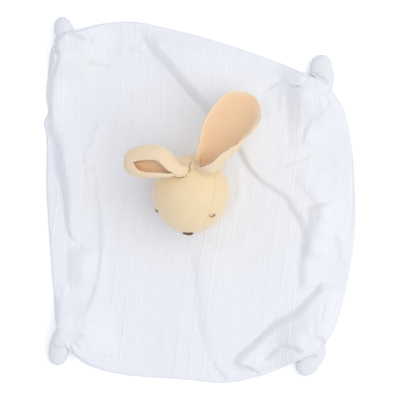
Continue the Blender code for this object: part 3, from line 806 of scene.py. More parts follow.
FINE_FOLDS = (
    *folds(
        FoldKind.STEP,
        (((88, 20), (102, 9), (111, -2), (116, -13), (115, -24)), 2.8, 7, 14, 0.2),
        (((100, -153), (88, -149), (76, -149), (66, -157)), 1.6, 3, 6, 0.2),
        (((-104.6, 82), (-104.6, 72), (-108.6, 66), (-107.6, 60), (-110.6, 54), (-114.6, 50), (-116, 40),
         (-113.6, 30), (-114, 12)), 1.5, 1.8, 6, 0.1),
        (((-109.6, 30), (-105.2, 26), (-104, 12), (-101.6, -4), (-99.6, -20), (-100, -56), (-103.6, -80),
         (-109.6, -100), (-115.6, -116), (-118, -128)), 1.5, 1.9, 6, 0.06),
        (((130.5, 108), (126.5, 95), (120.5, 87), (111.5, 81), (105.5, 74), (102.5, 65), (99.5, 54)), 3.0,
         4, 11, 0.15),
        (((131, -27), (141, -61), (149, -74)), 1.7, 3.5, 9, 0.2),
        (((13, -160), (16, -168), (22, -174), (28, -181)), 1.7, 2.2, 8, 0.12, True),
        (((-112, -154.5), (-98, -155), (-82, -158)), 1.3, 2.2, 7, 0.2),
        (((-97, 150), (-103, 161), (-110, 168), (-121, 169)), 1.2, 2.0, 5, 0.25, True),
        (((-146, -89), (-134, -96)), 2.4, 4, 6, 0.25),
        (((-82, -160), (-94, -155), (-110, -154)), 1.0, 2.0, 6, 0.25),
    ),
    *folds(
        FoldKind.RIDGE,
        (((-72, 154), (-52, 148), (-38, 134), (-24, 116), (-10, 100)), 1.3, 4, 5, 0.2),
        (((84, 117), (92, 115), (102, 113)), 1.6, 1.6, 1.6, 0.3),
        (((81, 110), (81, 92), (78, 76)), 0.7, 2, 3, 0.25),
        (((100, 100), (100, 80), (99, 62)), 0.8, 1.2, 1.6, 0.3),
        (((131, 96), (141, 76), (150, 62)), 1.2, 3, 4, 0.2),
        (((135, -34), (148, -50)), 0.9, 2, 3, 0.3),
        (((133, -95), (128, -112), (124, -128)), 1.2, 3, 4, 0.3),
        (((-142, 161), (-133, 166), (-118, 162), (-108, 157)), 1.5, 1.8, 2.2, 0.15, True),
        (((-142, 154), (-144, 120), (-146, 90), (-144, 60)), (4, 5.5, 5.5, 4), (5, 5, 4, 4), 12, 0.12,
         True),
        (((-142, -120), (-138, -104), (-139, -96)), 2.0, 5, 5, 0.3, True),
        (((26, 32), (38, 26), (40, 8), (34, -8), (26, -16)), 1.1, 4, 5, 0.3),
        (((-70, 148), (-62, 150), (-54, 149)), 1.2, 2.5, 3, 0.25),
    ),
    *folds(
        FoldKind.CREASE,
        (((-50, 173), (-48, 162), (-44, 150)), 0.9, 1.6, 1.8, 0.3),
        (((103, -152), (90.6, -147), (78.7, -145), (72.7, -148), (64.7, -156), (57.8, -161)), 4.2, 2.4, 2.8,
         0.15, True),
        (((57, 106), (70, 113), (79, 119), (86, 119)), 2.5, 1.7, 2.6, 0.25),
        (((98, 113), (104, 118), (107, 125), (114, 131)), 1.6, 1.6, 2.4, 0.3, True),
        (((87, 114), (93, 112.5), (100, 112.5)), 3.4, 1.1, 1.1, 0.2),
        (((66, 35), (84, 34.5), (88, 37), (100, 41), (115, 47)), (1.6, 2.2, 2.0, 1.8, 1.6), 1.6, 2.0, 0.15),
        (((109, 30), (124, 33), (142, 38)), 1.0, 2.5, 2.5, 0.25),
        (((124, -98), (120, -116), (118, -134)), 1.8, 1.6, 1.8, 0.2),
        (((-100, 147), (-88, 147.5), (-78, 147.5)), 3.0, 1.7, 2.2, 0.3),
        (((-112, 139), (-107.5, 134), (-100, 132.5), (-88, 132)), 2.8, 1.6, 2.2, 0.2),
        (((-143, 160), (-143.5, 151), (-140.5, 142), (-143.5, 133), (-147, 122)), 3.4, 1.6, 2.0, 0.12,
         True),
        (((-134, 161), (-121, 160), (-112, 158), (-106, 158.5)), 2.6, 1.5, 2.0, 0.25),
        (((-142, -128), (-132, -134), (-116, -132)), 2.4, 1.5, 2.0, 0.2, True),
        (((-128, -137), (-129, -145), (-124.5, -153)), 2.4, 1.4, 1.6, 0.2, True),
        (((-136, 160), (-122, 158), (-111, 156), (-106, 159)), 1.2, 1.5, 1.5, 0.2),
        (((-152, 151), (-141, 146)), 1.8, 1.6, 1.6, 0.3, True),
        (((-153, 141), (-141, 134)), 1.8, 1.6, 1.6, 0.3, True),
        (((-152, 130), (-143, 127)), 1.0, 1.6, 1.6, 0.3, True),
        (((-128, -36), (-124, -44), (-117, -49)), 1.6, 1.4, 1.8, 0.25),
        (((-116, -132), (-122, -136), (-129, -137)), 1.2, 1.4, 1.6, 0.25, True),
        (((-118, -150), (-123, -143), (-129, -138)), 1.6, 1.4, 1.8, 0.25, True),
        (((143, 95), (150, 60), (151.5, 30), (152, 0), (150.5, -36)), 2.0, 1.1, 1.3, 0.12, True),
        (((119, 105.5), (123, 107), (128, 109)), 2.0, 1.1, 1.1, 0.25, True),
        (((123, 107), (127, 105)), 1.4, 1.0, 1.0, 0.3, True),
        (((112, -135), (117, -136), (120.5, -138.5), (121.5, -147)), 2.6, 1.2, 1.2, 0.2, True),
    ),
)


@dataclass
class Blanket:
    """The doubled cloth: a folded top panel and a flat back panel, sewn together round their edge."""

    width: float = 311 * MM
    length: float = 365 * MM
    thickness: float = 1.0 * MM
    seam_level: float = 1.65 * MM
    surface_level: float = 3.3 * MM
    rim_width: float = 3.2 * MM
    neck_place: tuple = (-8.7 * MM, 6.8 * MM)
    neck_flat: float = 22 * MM
    neck_fade: float = 45 * MM
    edge_fade: float = 20 * MM
    seam_fade: float = 4 * MM
    swell: tuple = (34 * MM, 0.7 * MM)
    crumple: tuple = (13 * MM, 0.34 * MM)
    gather_height: float = 14.4 * MM
    gather_reach: float = 38 * MM
    knot_shoulder: float = 11 * MM
    pleats: int = 8
    pleat_height: float = 0.8 * MM
    gather_pinch: float = 0.12
    edge_ripple: float = 0.5 * MM
    knot_radius: float = 13.5 * MM
    corner_reach: float = 9.45 * MM
    rib_lean: tuple = ((-190, -30), (-80, -18.5), (0, -6.5), (100, 1.5), (190, 3.5))
    rib_start: float = 3.0 * MM
    top_cells: tuple = (196, 224)
    back_cells: tuple = (120, 140)
    fine_rows: int = 6
    fine_step: float = 0.55 * MM
    def on_cloth(self, shares: tuple) -> np.ndarray:
        """The plan place of a pair of shares of half the width and half the length."""
        return np.array(shares) * (self.width / 2, self.length / 2)

    def edges(self, cells: tuple) -> tuple:
        """The four edges of the cloth.

        Args:
            cells: the steps across and along.

        Returns:
            Bottom and top from the left, left and right from the bottom.
        """
        corners = (
            self.on_cloth(each.place) + heading(each.tail_turn) * self.corner_reach for each in CORNERS
        )
        top_left, top_right, bottom_right, bottom_left = corners

        def run(start: np.ndarray, through: tuple, end: np.ndarray, count: int) -> np.ndarray:
            """One edge between two corners, a little wavy."""
            line = even_spline(np.array([start, *(self.on_cloth(each) for each in through), end]), count)
            ahead = np.gradient(line, axis=0)
            out = np.column_stack([-ahead[:, 1], ahead[:, 0]]) / np.linalg.norm(ahead, axis=1)[:, None]
            ripple = waves(line, 12 * MM, 7.0) * np.sin(np.linspace(0, math.pi, count + 1)) ** 0.5
            return line + out * (ripple * self.edge_ripple)[:, None]

        top = run(top_left, EDGES["top"], top_right, cells[0])
        right = run(top_right, EDGES["right"], bottom_right, cells[1])[::-1]
        bottom = run(bottom_right, EDGES["bottom"], bottom_left, cells[0])[::-1]
        left = run(bottom_left, EDGES["left"], top_left, cells[1])
        return bottom, top, left, right

    def plan(self, cells: tuple) -> Callable:
        """The cloth's plan: a function from shares u and v to places, and to distances from the edge."""
        bottom, top, left, right = self.edges((400, 480))
        knots_u, knots_v = np.linspace(0, 1, 401), np.linspace(0, 1, 481)
        spaced = []
        for count, size in zip(cells, (self.width, self.length)):
            fine = np.arange(self.fine_rows) * self.fine_step / size
            inner = np.linspace(fine[-1], 1 - fine[-1], count - 2 * self.fine_rows + 3)
            spaced.append(np.concatenate([fine[:-1], inner, (1 - fine[:-1])[::-1]]))

        def read(edge: np.ndarray, knots: np.ndarray, share: np.ndarray) -> np.ndarray:
            """Points of one edge at shares along it."""
            return np.stack([np.interp(share, knots, edge[:, axis]) for axis in (0, 1)], axis=1)

        def place(u: np.ndarray, v: np.ndarray) -> tuple:
            """Plan places and distances from the edge."""
            u = np.interp(u, np.linspace(0, 1, cells[0] + 1), spaced[0])
            v = np.interp(v, np.linspace(0, 1, cells[1] + 1), spaced[1])
            low, high = read(bottom, knots_u, u), read(top, knots_u, u)
            near, far = read(left, knots_v, v), read(right, knots_v, v)
            u, v = u[:, None], v[:, None]
            ruled = low * (1 - v) + high * v + near * (1 - u) + far * u
            corners = (bottom[0] * (1 - u) + bottom[-1] * u) * (1 - v) + (top[0] * (1 - u) + top[-1] * u) * v
            spots = ruled - corners
            away = np.min([np.linalg.norm(spots - edge, axis=1) for edge in (low, high, near, far)], axis=0)
            return spots, away

        return place

    def fold_rise(self, spots: np.ndarray, away: np.ndarray) -> np.ndarray:
        """How far the folds and wrinkles lift the top panel.

        Args:
            spots: plan places.
            away: their distances from the edge.

        Returns:
            The rise at each place.
        """
        from_neck = np.linalg.norm(spots - np.array(self.neck_place), axis=1)
        by_neck = smooth_step((from_neck - self.neck_flat) / self.neck_fade)
        by_edge = smooth_step(away / self.edge_fade)
        near_edge = smooth_step(away / self.seam_fade)
        lift = sum(fold.lift(spots) for fold in MAIN_FOLDS) * by_neck * by_edge
        swell, crumple = self.swell, self.crumple
        lift += waves(spots, swell[0], 2.0) * swell[1] * by_neck * by_edge
        lift += waves(spots, crumple[0], 5.0) * crumple[1] * by_edge
        fine_neck = smooth_step((from_neck - 0.8 * self.neck_flat) / (0.3 * self.neck_fade))
        for fold in FINE_FOLDS:
            lift += fold.lift(spots) * fine_neck * (near_edge if fold.to_edge else by_edge)
        return lift

    def knot_rise(self, spots: np.ndarray, away: np.ndarray) -> np.ndarray:
        """How far the cloth stands up over the knots, pleated round them."""
        rounded = quarter_round(away / self.knot_shoulder)
        lift = np.zeros(len(spots))
        for index, corner in enumerate(CORNERS):
            off = spots - self.on_cloth(corner.place)
            far = np.linalg.norm(off, axis=1)
            share = smooth_step(1 - (far - self.knot_radius) / self.gather_reach)
            turn = np.arctan2(off[:, 1], off[:, 0])
            pleats = np.cos(self.pleats * turn + 2.6 * np.sin(2 * turn + 1.7 * index) + index)
            pleats *= smooth_step((far - 7 * MM) / (14 * MM))
            lift += share**1.3 * rounded * (self.gather_height + self.pleat_height * pleats)
        return lift

    def rim(self, away: np.ndarray) -> np.ndarray:
        """How full the cloth's rounded edge is at a distance from it, from 0 to 1."""
        return quarter_round(away / self.rim_width)

    def flat_map(self, plan: Callable) -> Place:
        """The cloth's own coordinates, so that the ribs run down it."""
        def flat(u: np.ndarray, v: np.ndarray, layer: int) -> np.ndarray:
            """Cloth coordinates in metres at shares u and v."""
            spots, away = plan(u, v)
            lift = self.fold_rise(spots, away)
            lean = np.array(self.rib_lean) * MM
            along = np.interp(spots[:, 1], lean[:, 0], lean[:, 1])
            cloth = spots - np.column_stack([along + self.rib_start - 0.6 * lift, 0 * along])
            for corner in CORNERS:
                off = spots - self.on_cloth(corner.place)
                near = np.exp(-(np.sum(off**2, axis=1) / self.gather_reach**2) * 1.6)
                cloth += off * (self.gather_pinch * near)[:, None]
            return cloth

        return flat

    def build_top(self) -> bpy.types.Object:
        """The top panel, with every fold."""
        plan = self.plan(self.top_cells)

        def place(u: np.ndarray, v: np.ndarray, layer: int) -> np.ndarray:
            """Points of the top panel."""
            spots, away = plan(u, v)
            level = self.surface_level + self.fold_rise(spots, away) + self.knot_rise(spots, away)
            level -= self.seam_level
            full = self.rim(away)
            z = self.seam_level + np.maximum(level, 0.8 * MM) * full
            if layer:
                z = z - self.thickness * full - 0.1 * MM
            return np.column_stack([spots, z])

        bm = shell(self.top_cells, place, flat=self.flat_map(plan))
        return make_piece("top_cloth", bm, "blanket", RIBBED_KNIT, ["blanket_top_panel"])

    def build_back(self) -> bpy.types.Object:
        """The back panel, flat on the floor with its edge turned up to the seam."""
        plan = self.plan(self.back_cells)

        def place(u: np.ndarray, v: np.ndarray, layer: int) -> np.ndarray:
            """Points of the back panel."""
            spots, away = plan(u, v)
            full = self.rim(away)
            low = self.seam_level * (1 - full)
            if not layer:
                return np.column_stack([spots, low])
            return np.column_stack([spots, low + 0.1 * MM + self.thickness * full])

        bm = shell(self.back_cells, place, flat=self.flat_map(plan))
        return make_piece("back_cloth", bm, "blanket", RIBBED_KNIT, ["blanket_back_panel"])

    def build(self) -> None:
        """Make the whole cloth with its knots."""
        knots = []
        for corner in CORNERS:
            knot = Knot(corner, self.on_cloth(corner.place))
            knots += [knot.build_knot(), knot.build_tail()]
        top = self.build_top()
        back = self.build_back()


@dataclass
class Knot:
    """One corner of the cloth tied in an overhand knot, and the tail that comes out of it."""

    corner: Corner
    centre: np.ndarray
    core: tuple = ((0, 0, 8.2, 11, 11.5, 8.2), (-6, 0, 7, 10, 11, 6.4))
    voxel: float = 0.75 * MM
    base: float = 0.2 * MM

    def spot(self, along: float, aside: float, up: float) -> np.ndarray:
        """A point along the tail's heading, to its left and up, in millimetres from the knot's foot."""
        ahead = heading(self.corner.tail_turn)
        left = np.array((-ahead[1], ahead[0]))
        plan = self.centre + (ahead * along + left * aside) * MM
        return np.array((*plan, up * MM))

    def crease(self, bm: bmesh.types.BMesh, line: Sequence[tuple], depth: float, width: float) -> None:
        """Press a crease into the top of the skin.

        Args:
            bm: the skin.
            line: points ahead and to the left, in millimetres.
            depth: how deep it is.
            width: how wide it is on each side.
        """
        skin = np.array([vertex.co for vertex in bm.verts])
        plan = even_spline(np.array([self.spot(*each, 0)[:2] for each in line]), 24)
        path = []
        for point in plan:
            away = np.linalg.norm(skin[:, :2] - point, axis=1)
            near = skin[away < max(away.min() + 0.3 * MM, 1 * MM)]
            path.append((*point, near[:, 2].max()))
        press_groove(bm, np.array(path), depth, width)

    def finish_skin(self, bm: bmesh.types.BMesh, creases: Sequence[tuple], depth: float) -> bmesh.types.BMesh:
        """Melt the lumps, crease them and cut them flat on the floor.

        Args:
            bm: the lumps, which are used up.
            creases: lines on top of them.
            depth: how deep the creases are.

        Returns:
            The closed skin.
        """
        bm = fuse(bm, self.voxel, 5)
        for line in creases:
            self.crease(bm, line, depth, 1.1 * MM)
        places = np.array([vertex.co for vertex in bm.verts])
        bm.normal_update()
        for vertex, push in zip(bm.verts, waves(places, 7 * MM, 4.0)):
            vertex.co += vertex.normal * push * 0.35 * MM
        geometry = bm.verts[:] + bm.edges[:] + bm.faces[:]
        bmesh.ops.bisect_plane(
            bm, geom=geometry, plane_co=(0, 0, self.base), plane_no=(0, 0, 1), clear_inner=True
        )
        bmesh.ops.holes_fill(bm, edges=[edge for edge in bm.edges if edge.is_boundary])
        face_outwards(bm)
        return bm

    def build_knot(self) -> bpy.types.Object:
        """The wrapped lump."""
        bm = bmesh.new()
        for along, aside, up, *sizes in self.core:
            add_bead(bm, self.spot(along, aside, up), np.array(sizes) * MM, self.corner.tail_turn)
        for line, radius in self.corner.wraps:
            for point in spline(np.array([self.spot(*each) for each in line]), np.linspace(0, 1, 30)):
                add_bead(bm, point, np.full(3, radius * MM))
        bm = self.finish_skin(bm, self.corner.creases, 1.7 * MM)
        name = self.corner.name
        return make_piece("knot_cloth_" + name, bm, "blanket", PLAIN_KNIT, ["knot_" + name])

    def build_tail(self) -> bpy.types.Object:
        """The rounded nub."""
        bm = bmesh.new()
        rows = np.array(self.corner.nub, float)
        for along, aside, up, wide, high in spline(rows, np.linspace(0, 1, 10 * len(rows))):
            sizes = np.array((wide, wide, high)) * MM
            add_bead(bm, self.spot(along, aside, up), sizes, self.corner.tail_turn)
        bm = self.finish_skin(bm, self.corner.nub_creases, 2.2 * MM)
        body = "tail_" + self.corner.name
        bend = ()
        if self.corner.bend:
            bend = ("blanket", *(tuple(self.spot(along, 0, 0)) for along in self.corner.bend))
        return make_piece("nub_" + self.corner.name, bm, body, PLAIN_KNIT, [body], bend)


# Head


@dataclass
class Head:
    """The stuffed head: a crown gusset between two side panels, over its filling."""

    centre: tuple = (-8.7 * MM, 6.8 * MM, 42.9 * MM)
    radius: float = 38 * MM
    roll: float = 13.0
    cover: float = 1.5 * MM
    snout_reach: float = 2.5 * MM
    snout_spread: float = 28.0
    nose_at: tuple = (-0.4, 75.0)
    gusset_half: float = 49.6
    gusset_from: float = -45.0
    gusset_to: float = 225.0
    gusset_shares: tuple = (0.05, 0.20, 0.32, 0.62, 0.88, 1.0, 1.0, 0.95, 0.85, 0.6, 0.05)
    seam_gap: float = 0.04 * MM
    seam_depth: float = 0.19 * MM
    seam_width: float = 1.1 * MM

    def direction(self, across: float, ahead: float) -> Vector:
        """The unit vector at degrees across from the head's crown line and ahead towards the nose."""
        a, b = math.radians(across - self.roll), math.radians(ahead)
        return Vector((math.sin(a) * math.cos(b), -math.sin(b), math.cos(a) * math.cos(b)))

    def reach(self, directions: np.ndarray) -> np.ndarray:
        """The cover's outer radius in unit directions, fuller at the snout."""
        nose = np.array(self.direction(*self.nose_at))
        off = np.degrees(np.arccos(np.clip(directions @ nose, -1, 1)))
        return self.radius + self.snout_reach * np.exp(-((off / self.snout_spread) ** 2))

    def half_angle(self, turn: np.ndarray) -> np.ndarray:
        """Half the gusset's angle across, in radians, at places round the head in degrees."""
        into = (turn - self.gusset_from) % 360 / (self.gusset_to - self.gusset_from)
        share = np.interp(into, np.linspace(0, 1, len(self.gusset_shares)), self.gusset_shares)
        return np.where(into > 1, 0.0, np.radians(self.gusset_half) * share)

    def cover_points(
        self, turn: np.ndarray, across: np.ndarray, layer: int, from_seam: np.ndarray
    ) -> np.ndarray:
        """Points of the cover.

        Args:
            turn: degrees round from the nose over the crown.
            across: radians from the head's mid-plane.
            layer: 0 outside, 1 inside.
            from_seam: distance from the panel's seam.

        Returns:
            One row for each point.
        """
        t = np.radians(turn)
        local = np.stack([np.sin(across), -np.cos(t) * np.cos(across), np.sin(t) * np.cos(across)], axis=1)
        matrix = np.array(Matrix.Rotation(math.radians(-self.roll), 3, "Y"))
        directions = local @ matrix.T
        reach = self.reach(directions)
        if layer:
            return np.array(self.centre) + directions * (reach - self.cover)[:, None]
        pucker = 0.75 + 0.25 * np.sin(t * 38)
        reach -= self.seam_depth * pucker * np.exp(-((from_seam / self.seam_width) ** 2))
        reach += waves(directions, 0.55, 3.0) * 0.25 * MM
        return np.array(self.centre) + directions * reach[:, None]

    def gusset(self) -> bmesh.types.BMesh:
        """The middle strip."""
        def place(u: np.ndarray, v: np.ndarray, layer: int) -> np.ndarray:
            """Points of the gusset."""
            turn = self.gusset_from + u * (self.gusset_to - self.gusset_from)
            half = self.half_angle(np.clip(turn, self.gusset_from, self.gusset_to - 1e-6))
            half -= self.seam_gap / self.radius
            from_seam = (1 - np.abs(2 * v - 1)) * half * self.radius
            return self.cover_points(turn, (2 * v - 1) * half, layer, from_seam)

        return shell((180, 64), place)

    def side(self, hand: int) -> bmesh.types.BMesh:
        """One side panel, on the left for -1 and the right for 1."""
        def place(u: np.ndarray, v: np.ndarray, layer: int) -> np.ndarray:
            """Points of the side panel."""
            turn = self.gusset_from + u * 360
            start = self.half_angle(turn) + self.seam_gap / self.radius
            across = start + v * (math.pi / 2 - start)
            return self.cover_points(turn, hand * across, layer, (across - start) * self.radius)

        return shell((240, 48), place, merge=1e-6)

    def build(self) -> None:
        """Make the three panels and the embroidered face."""
        crown = make_piece("head_crown_cloth", self.gusset(), "head", VELOUR, ["head_gusset"])
        left = make_piece("head_left_cloth", self.side(-1), "head", VELOUR, ["head_side_left"])
        right = make_piece("head_right_cloth", self.side(1), "head", VELOUR, ["head_side_right"])
        bpy.data.objects["head_filling"].data.materials.clear()
        bpy.data.objects["head_filling"].data.materials.append(WADDING.material())
        Face(self).build()


@dataclass
class Face:
    """The satin-stitched nose and the two small sleeping eyes."""

    head: Head
    nose_width: float = 9.8 * MM
    nose_height: float = 7.2 * MM
    thread: float = 0.42 * MM
    eye_width: float = 6.5 * MM
    eye_drop: float = 3.0 * MM
    eye_thread: float = 0.66 * MM
    left_eye: tuple = (-57.0, 24.0)
    right_eye: tuple = (51.5, 31.5)
    nose_top: tuple = (
        (-1.0, 0.2), (-0.8, 0.42), (-0.5, 0.5), (-0.2, 0.44), (0.0, 0.32), (0.2, 0.44), (0.5, 0.5), (0.8, 0.42),
        (1.0, 0.2),
    )
    nose_foot: tuple = (
        (-1.0, 0.1), (-0.66, -0.22), (-0.3, -0.44), (0.0, -0.52), (0.3, -0.44), (0.66, -0.22), (1.0, 0.1)
    )

    def on_face(self, place: tuple, right: float, up: float, lift: float) -> np.ndarray:
        """A point over the cover, moved right and up from a place on the face and lifted off it."""
        across, ahead = place
        start = self.head.direction(across, ahead)
        crown = self.head.direction(across, ahead - 90)
        direction = start + crown * (up / self.head.radius) + crown.cross(start) * (right / self.head.radius)
        direction.normalize()
        reach = float(self.head.reach(np.array([direction]))[0])
        return np.array(self.head.centre) + np.array(direction) * (reach + lift)

    def build_nose(self) -> None:
        """Threads laid side by side over a small pad."""
        bm = bmesh.new()
        top, foot = np.array(self.nose_top), np.array(self.nose_foot)
        count = int(self.nose_width / (1.7 * self.thread))
        for index in range(count):
            across = 2 * (index + 0.5) / count - 1
            high = float(np.interp(across, top[:, 0], top[:, 1])) * self.nose_height
            low = float(np.interp(across, foot[:, 0], foot[:, 1])) * self.nose_height
            steps = np.linspace(0, 1, 9)
            lifts = 0.3 * MM + self.thread + 0.35 * MM * np.sin(steps * math.pi) * (1 - 0.6 * across**2)
            line = np.array([
                self.on_face(self.head.nose_at, across * self.nose_width / 2, high + (low - high) * s, lift)
                for s, lift in zip(steps, lifts)
            ])
            add_tube(bm, line, self.thread * (0.55 + 0.45 * np.sin(steps * math.pi) ** 0.4), 8)
        face_outwards(bm)
        make_piece("nose_stitches", bm, "head", BROWN_THREAD, ["nose_embroidery"])

    def build_eye(self, name: str, place: tuple, hand: int) -> None:
        """A curved line of back stitches, thicker towards its outer end.

        Args:
            name: the eye's node.
            place: its place on the face.
            hand: -1 on the left and 1 on the right.
        """
        bm = bmesh.new()
        arc = []
        for across in np.linspace(-1, 1, 25):
            drop = (across**2 - 1) * self.eye_drop
            arc.append(self.on_face(place, across * self.eye_width / 2, drop, 0.3 * MM + self.eye_thread))
        arc = np.array(arc)
        for start in range(0, 24, 6):
            line = arc[start : start + 7]
            outer = 0.62 + 0.38 * hand * (2 * (start + 3) / 24 - 1)
            taper = 0.6 + 0.4 * np.sin(np.linspace(0, math.pi, len(line)))
            add_tube(bm, line, self.eye_thread * outer * taper, 8)
        face_outwards(bm)
        make_piece(name + "_stitches", bm, "head", BROWN_THREAD, [name])

    def build(self) -> None:
        """Make the nose and the eyes."""
        self.build_nose()
        self.build_eye("eye_left", self.left_eye, -1)
        self.build_eye("eye_right", self.right_eye, 1)


@dataclass
class Neck:
    """The gathered collar under the head and its ring of stitches."""

    head: Head
    foot_radius: float = 19 * MM
    top_radius: float = 15 * MM
    base: float = 3.6 * MM
    height: float = 6.2 * MM
    pleats: int = 26
    stitches: int = 30
    thread: float = 0.7 * MM

    def build(self) -> None:
        """Make the collar and the stitches."""
        centre = Vector(self.head.centre)
        bm = bmesh.new()
        bmesh.ops.create_cone(
            bm, cap_ends=True, segments=8 * self.pleats, radius1=self.foot_radius, radius2=self.top_radius,
            depth=self.height,
            matrix=Matrix.Translation((centre.x, centre.y, self.base + self.height / 2)),
        )
        half = self.height / 2
        upright = [edge for edge in bm.edges if abs(edge.verts[0].co.z - edge.verts[1].co.z) > half]
        bmesh.ops.subdivide_edges(bm, edges=upright, cuts=10, use_grid_fill=True)
        clear = self.head.radius + 0.3 * MM
        for vertex in bm.verts:
            off = Vector((vertex.co.x - centre.x, vertex.co.y - centre.y, 0))
            turn = math.atan2(off.y, off.x)
            share = (vertex.co.z - self.base) / self.height
            off *= 1 + 0.03 * math.sin(share * math.pi) * math.cos(self.pleats * turn)
            spot = Vector((centre.x + off.x, centre.y + off.y, vertex.co.z))
            if (spot - centre).length < clear:
                down = math.sqrt(max(clear**2 - off.length_squared, 0))
                spot.z = min(spot.z, centre.z - down)
            vertex.co = spot
        level = self.base + 1 * MM
        inner = [face for face in bm.faces if len(face.verts) > 4 and face.calc_center_median().z > level]
        bmesh.ops.poke(bm, faces=inner, offset=0)
        for vertex in bm.verts:
            if (vertex.co - centre).length < clear:
                vertex.co.z = centre.z - math.sqrt(clear**2 - (vertex.co - centre).xy.length_squared)
        face_outwards(bm)
        make_piece("neck_gathers", bm, "neck", VELOUR, ["neck_collar"])

        bm = bmesh.new()
        reach = self.foot_radius + 0.3 * MM + self.thread
        for index in range(self.stitches):
            turns = np.radians((index + np.linspace(0.1, 0.9, 7)) * 360 / self.stitches)
            line = np.column_stack([
                centre.x + reach * np.cos(turns), centre.y + reach * np.sin(turns),
                np.full(7, self.base + self.thread),
            ])
            add_tube(bm, line, self.thread * np.sqrt(np.sin(np.linspace(0.25, math.pi - 0.25, 7))), 8)
        face_outwards(bm)
        make_piece("neck_stitches", bm, "blanket", WHITE_THREAD, ["neck_thread"])


# Ears


@dataclass(frozen=True)
class Station:
    """One place along an ear.

    The place of the ear's back is in millimetres from the root: across, behind and up. The hollow is turned
    from straight up by some degrees, and the cloth reaches round it to the left and the right by others. The
    hollow is an oval, and wide and high are its half sizes in millimetres. Swing turns the section in plan.
    """

    across: float
    behind: float
    up: float
    turn: float
    left: float
    right: float
    wide: float
    high: float
    swing: float = 0.0


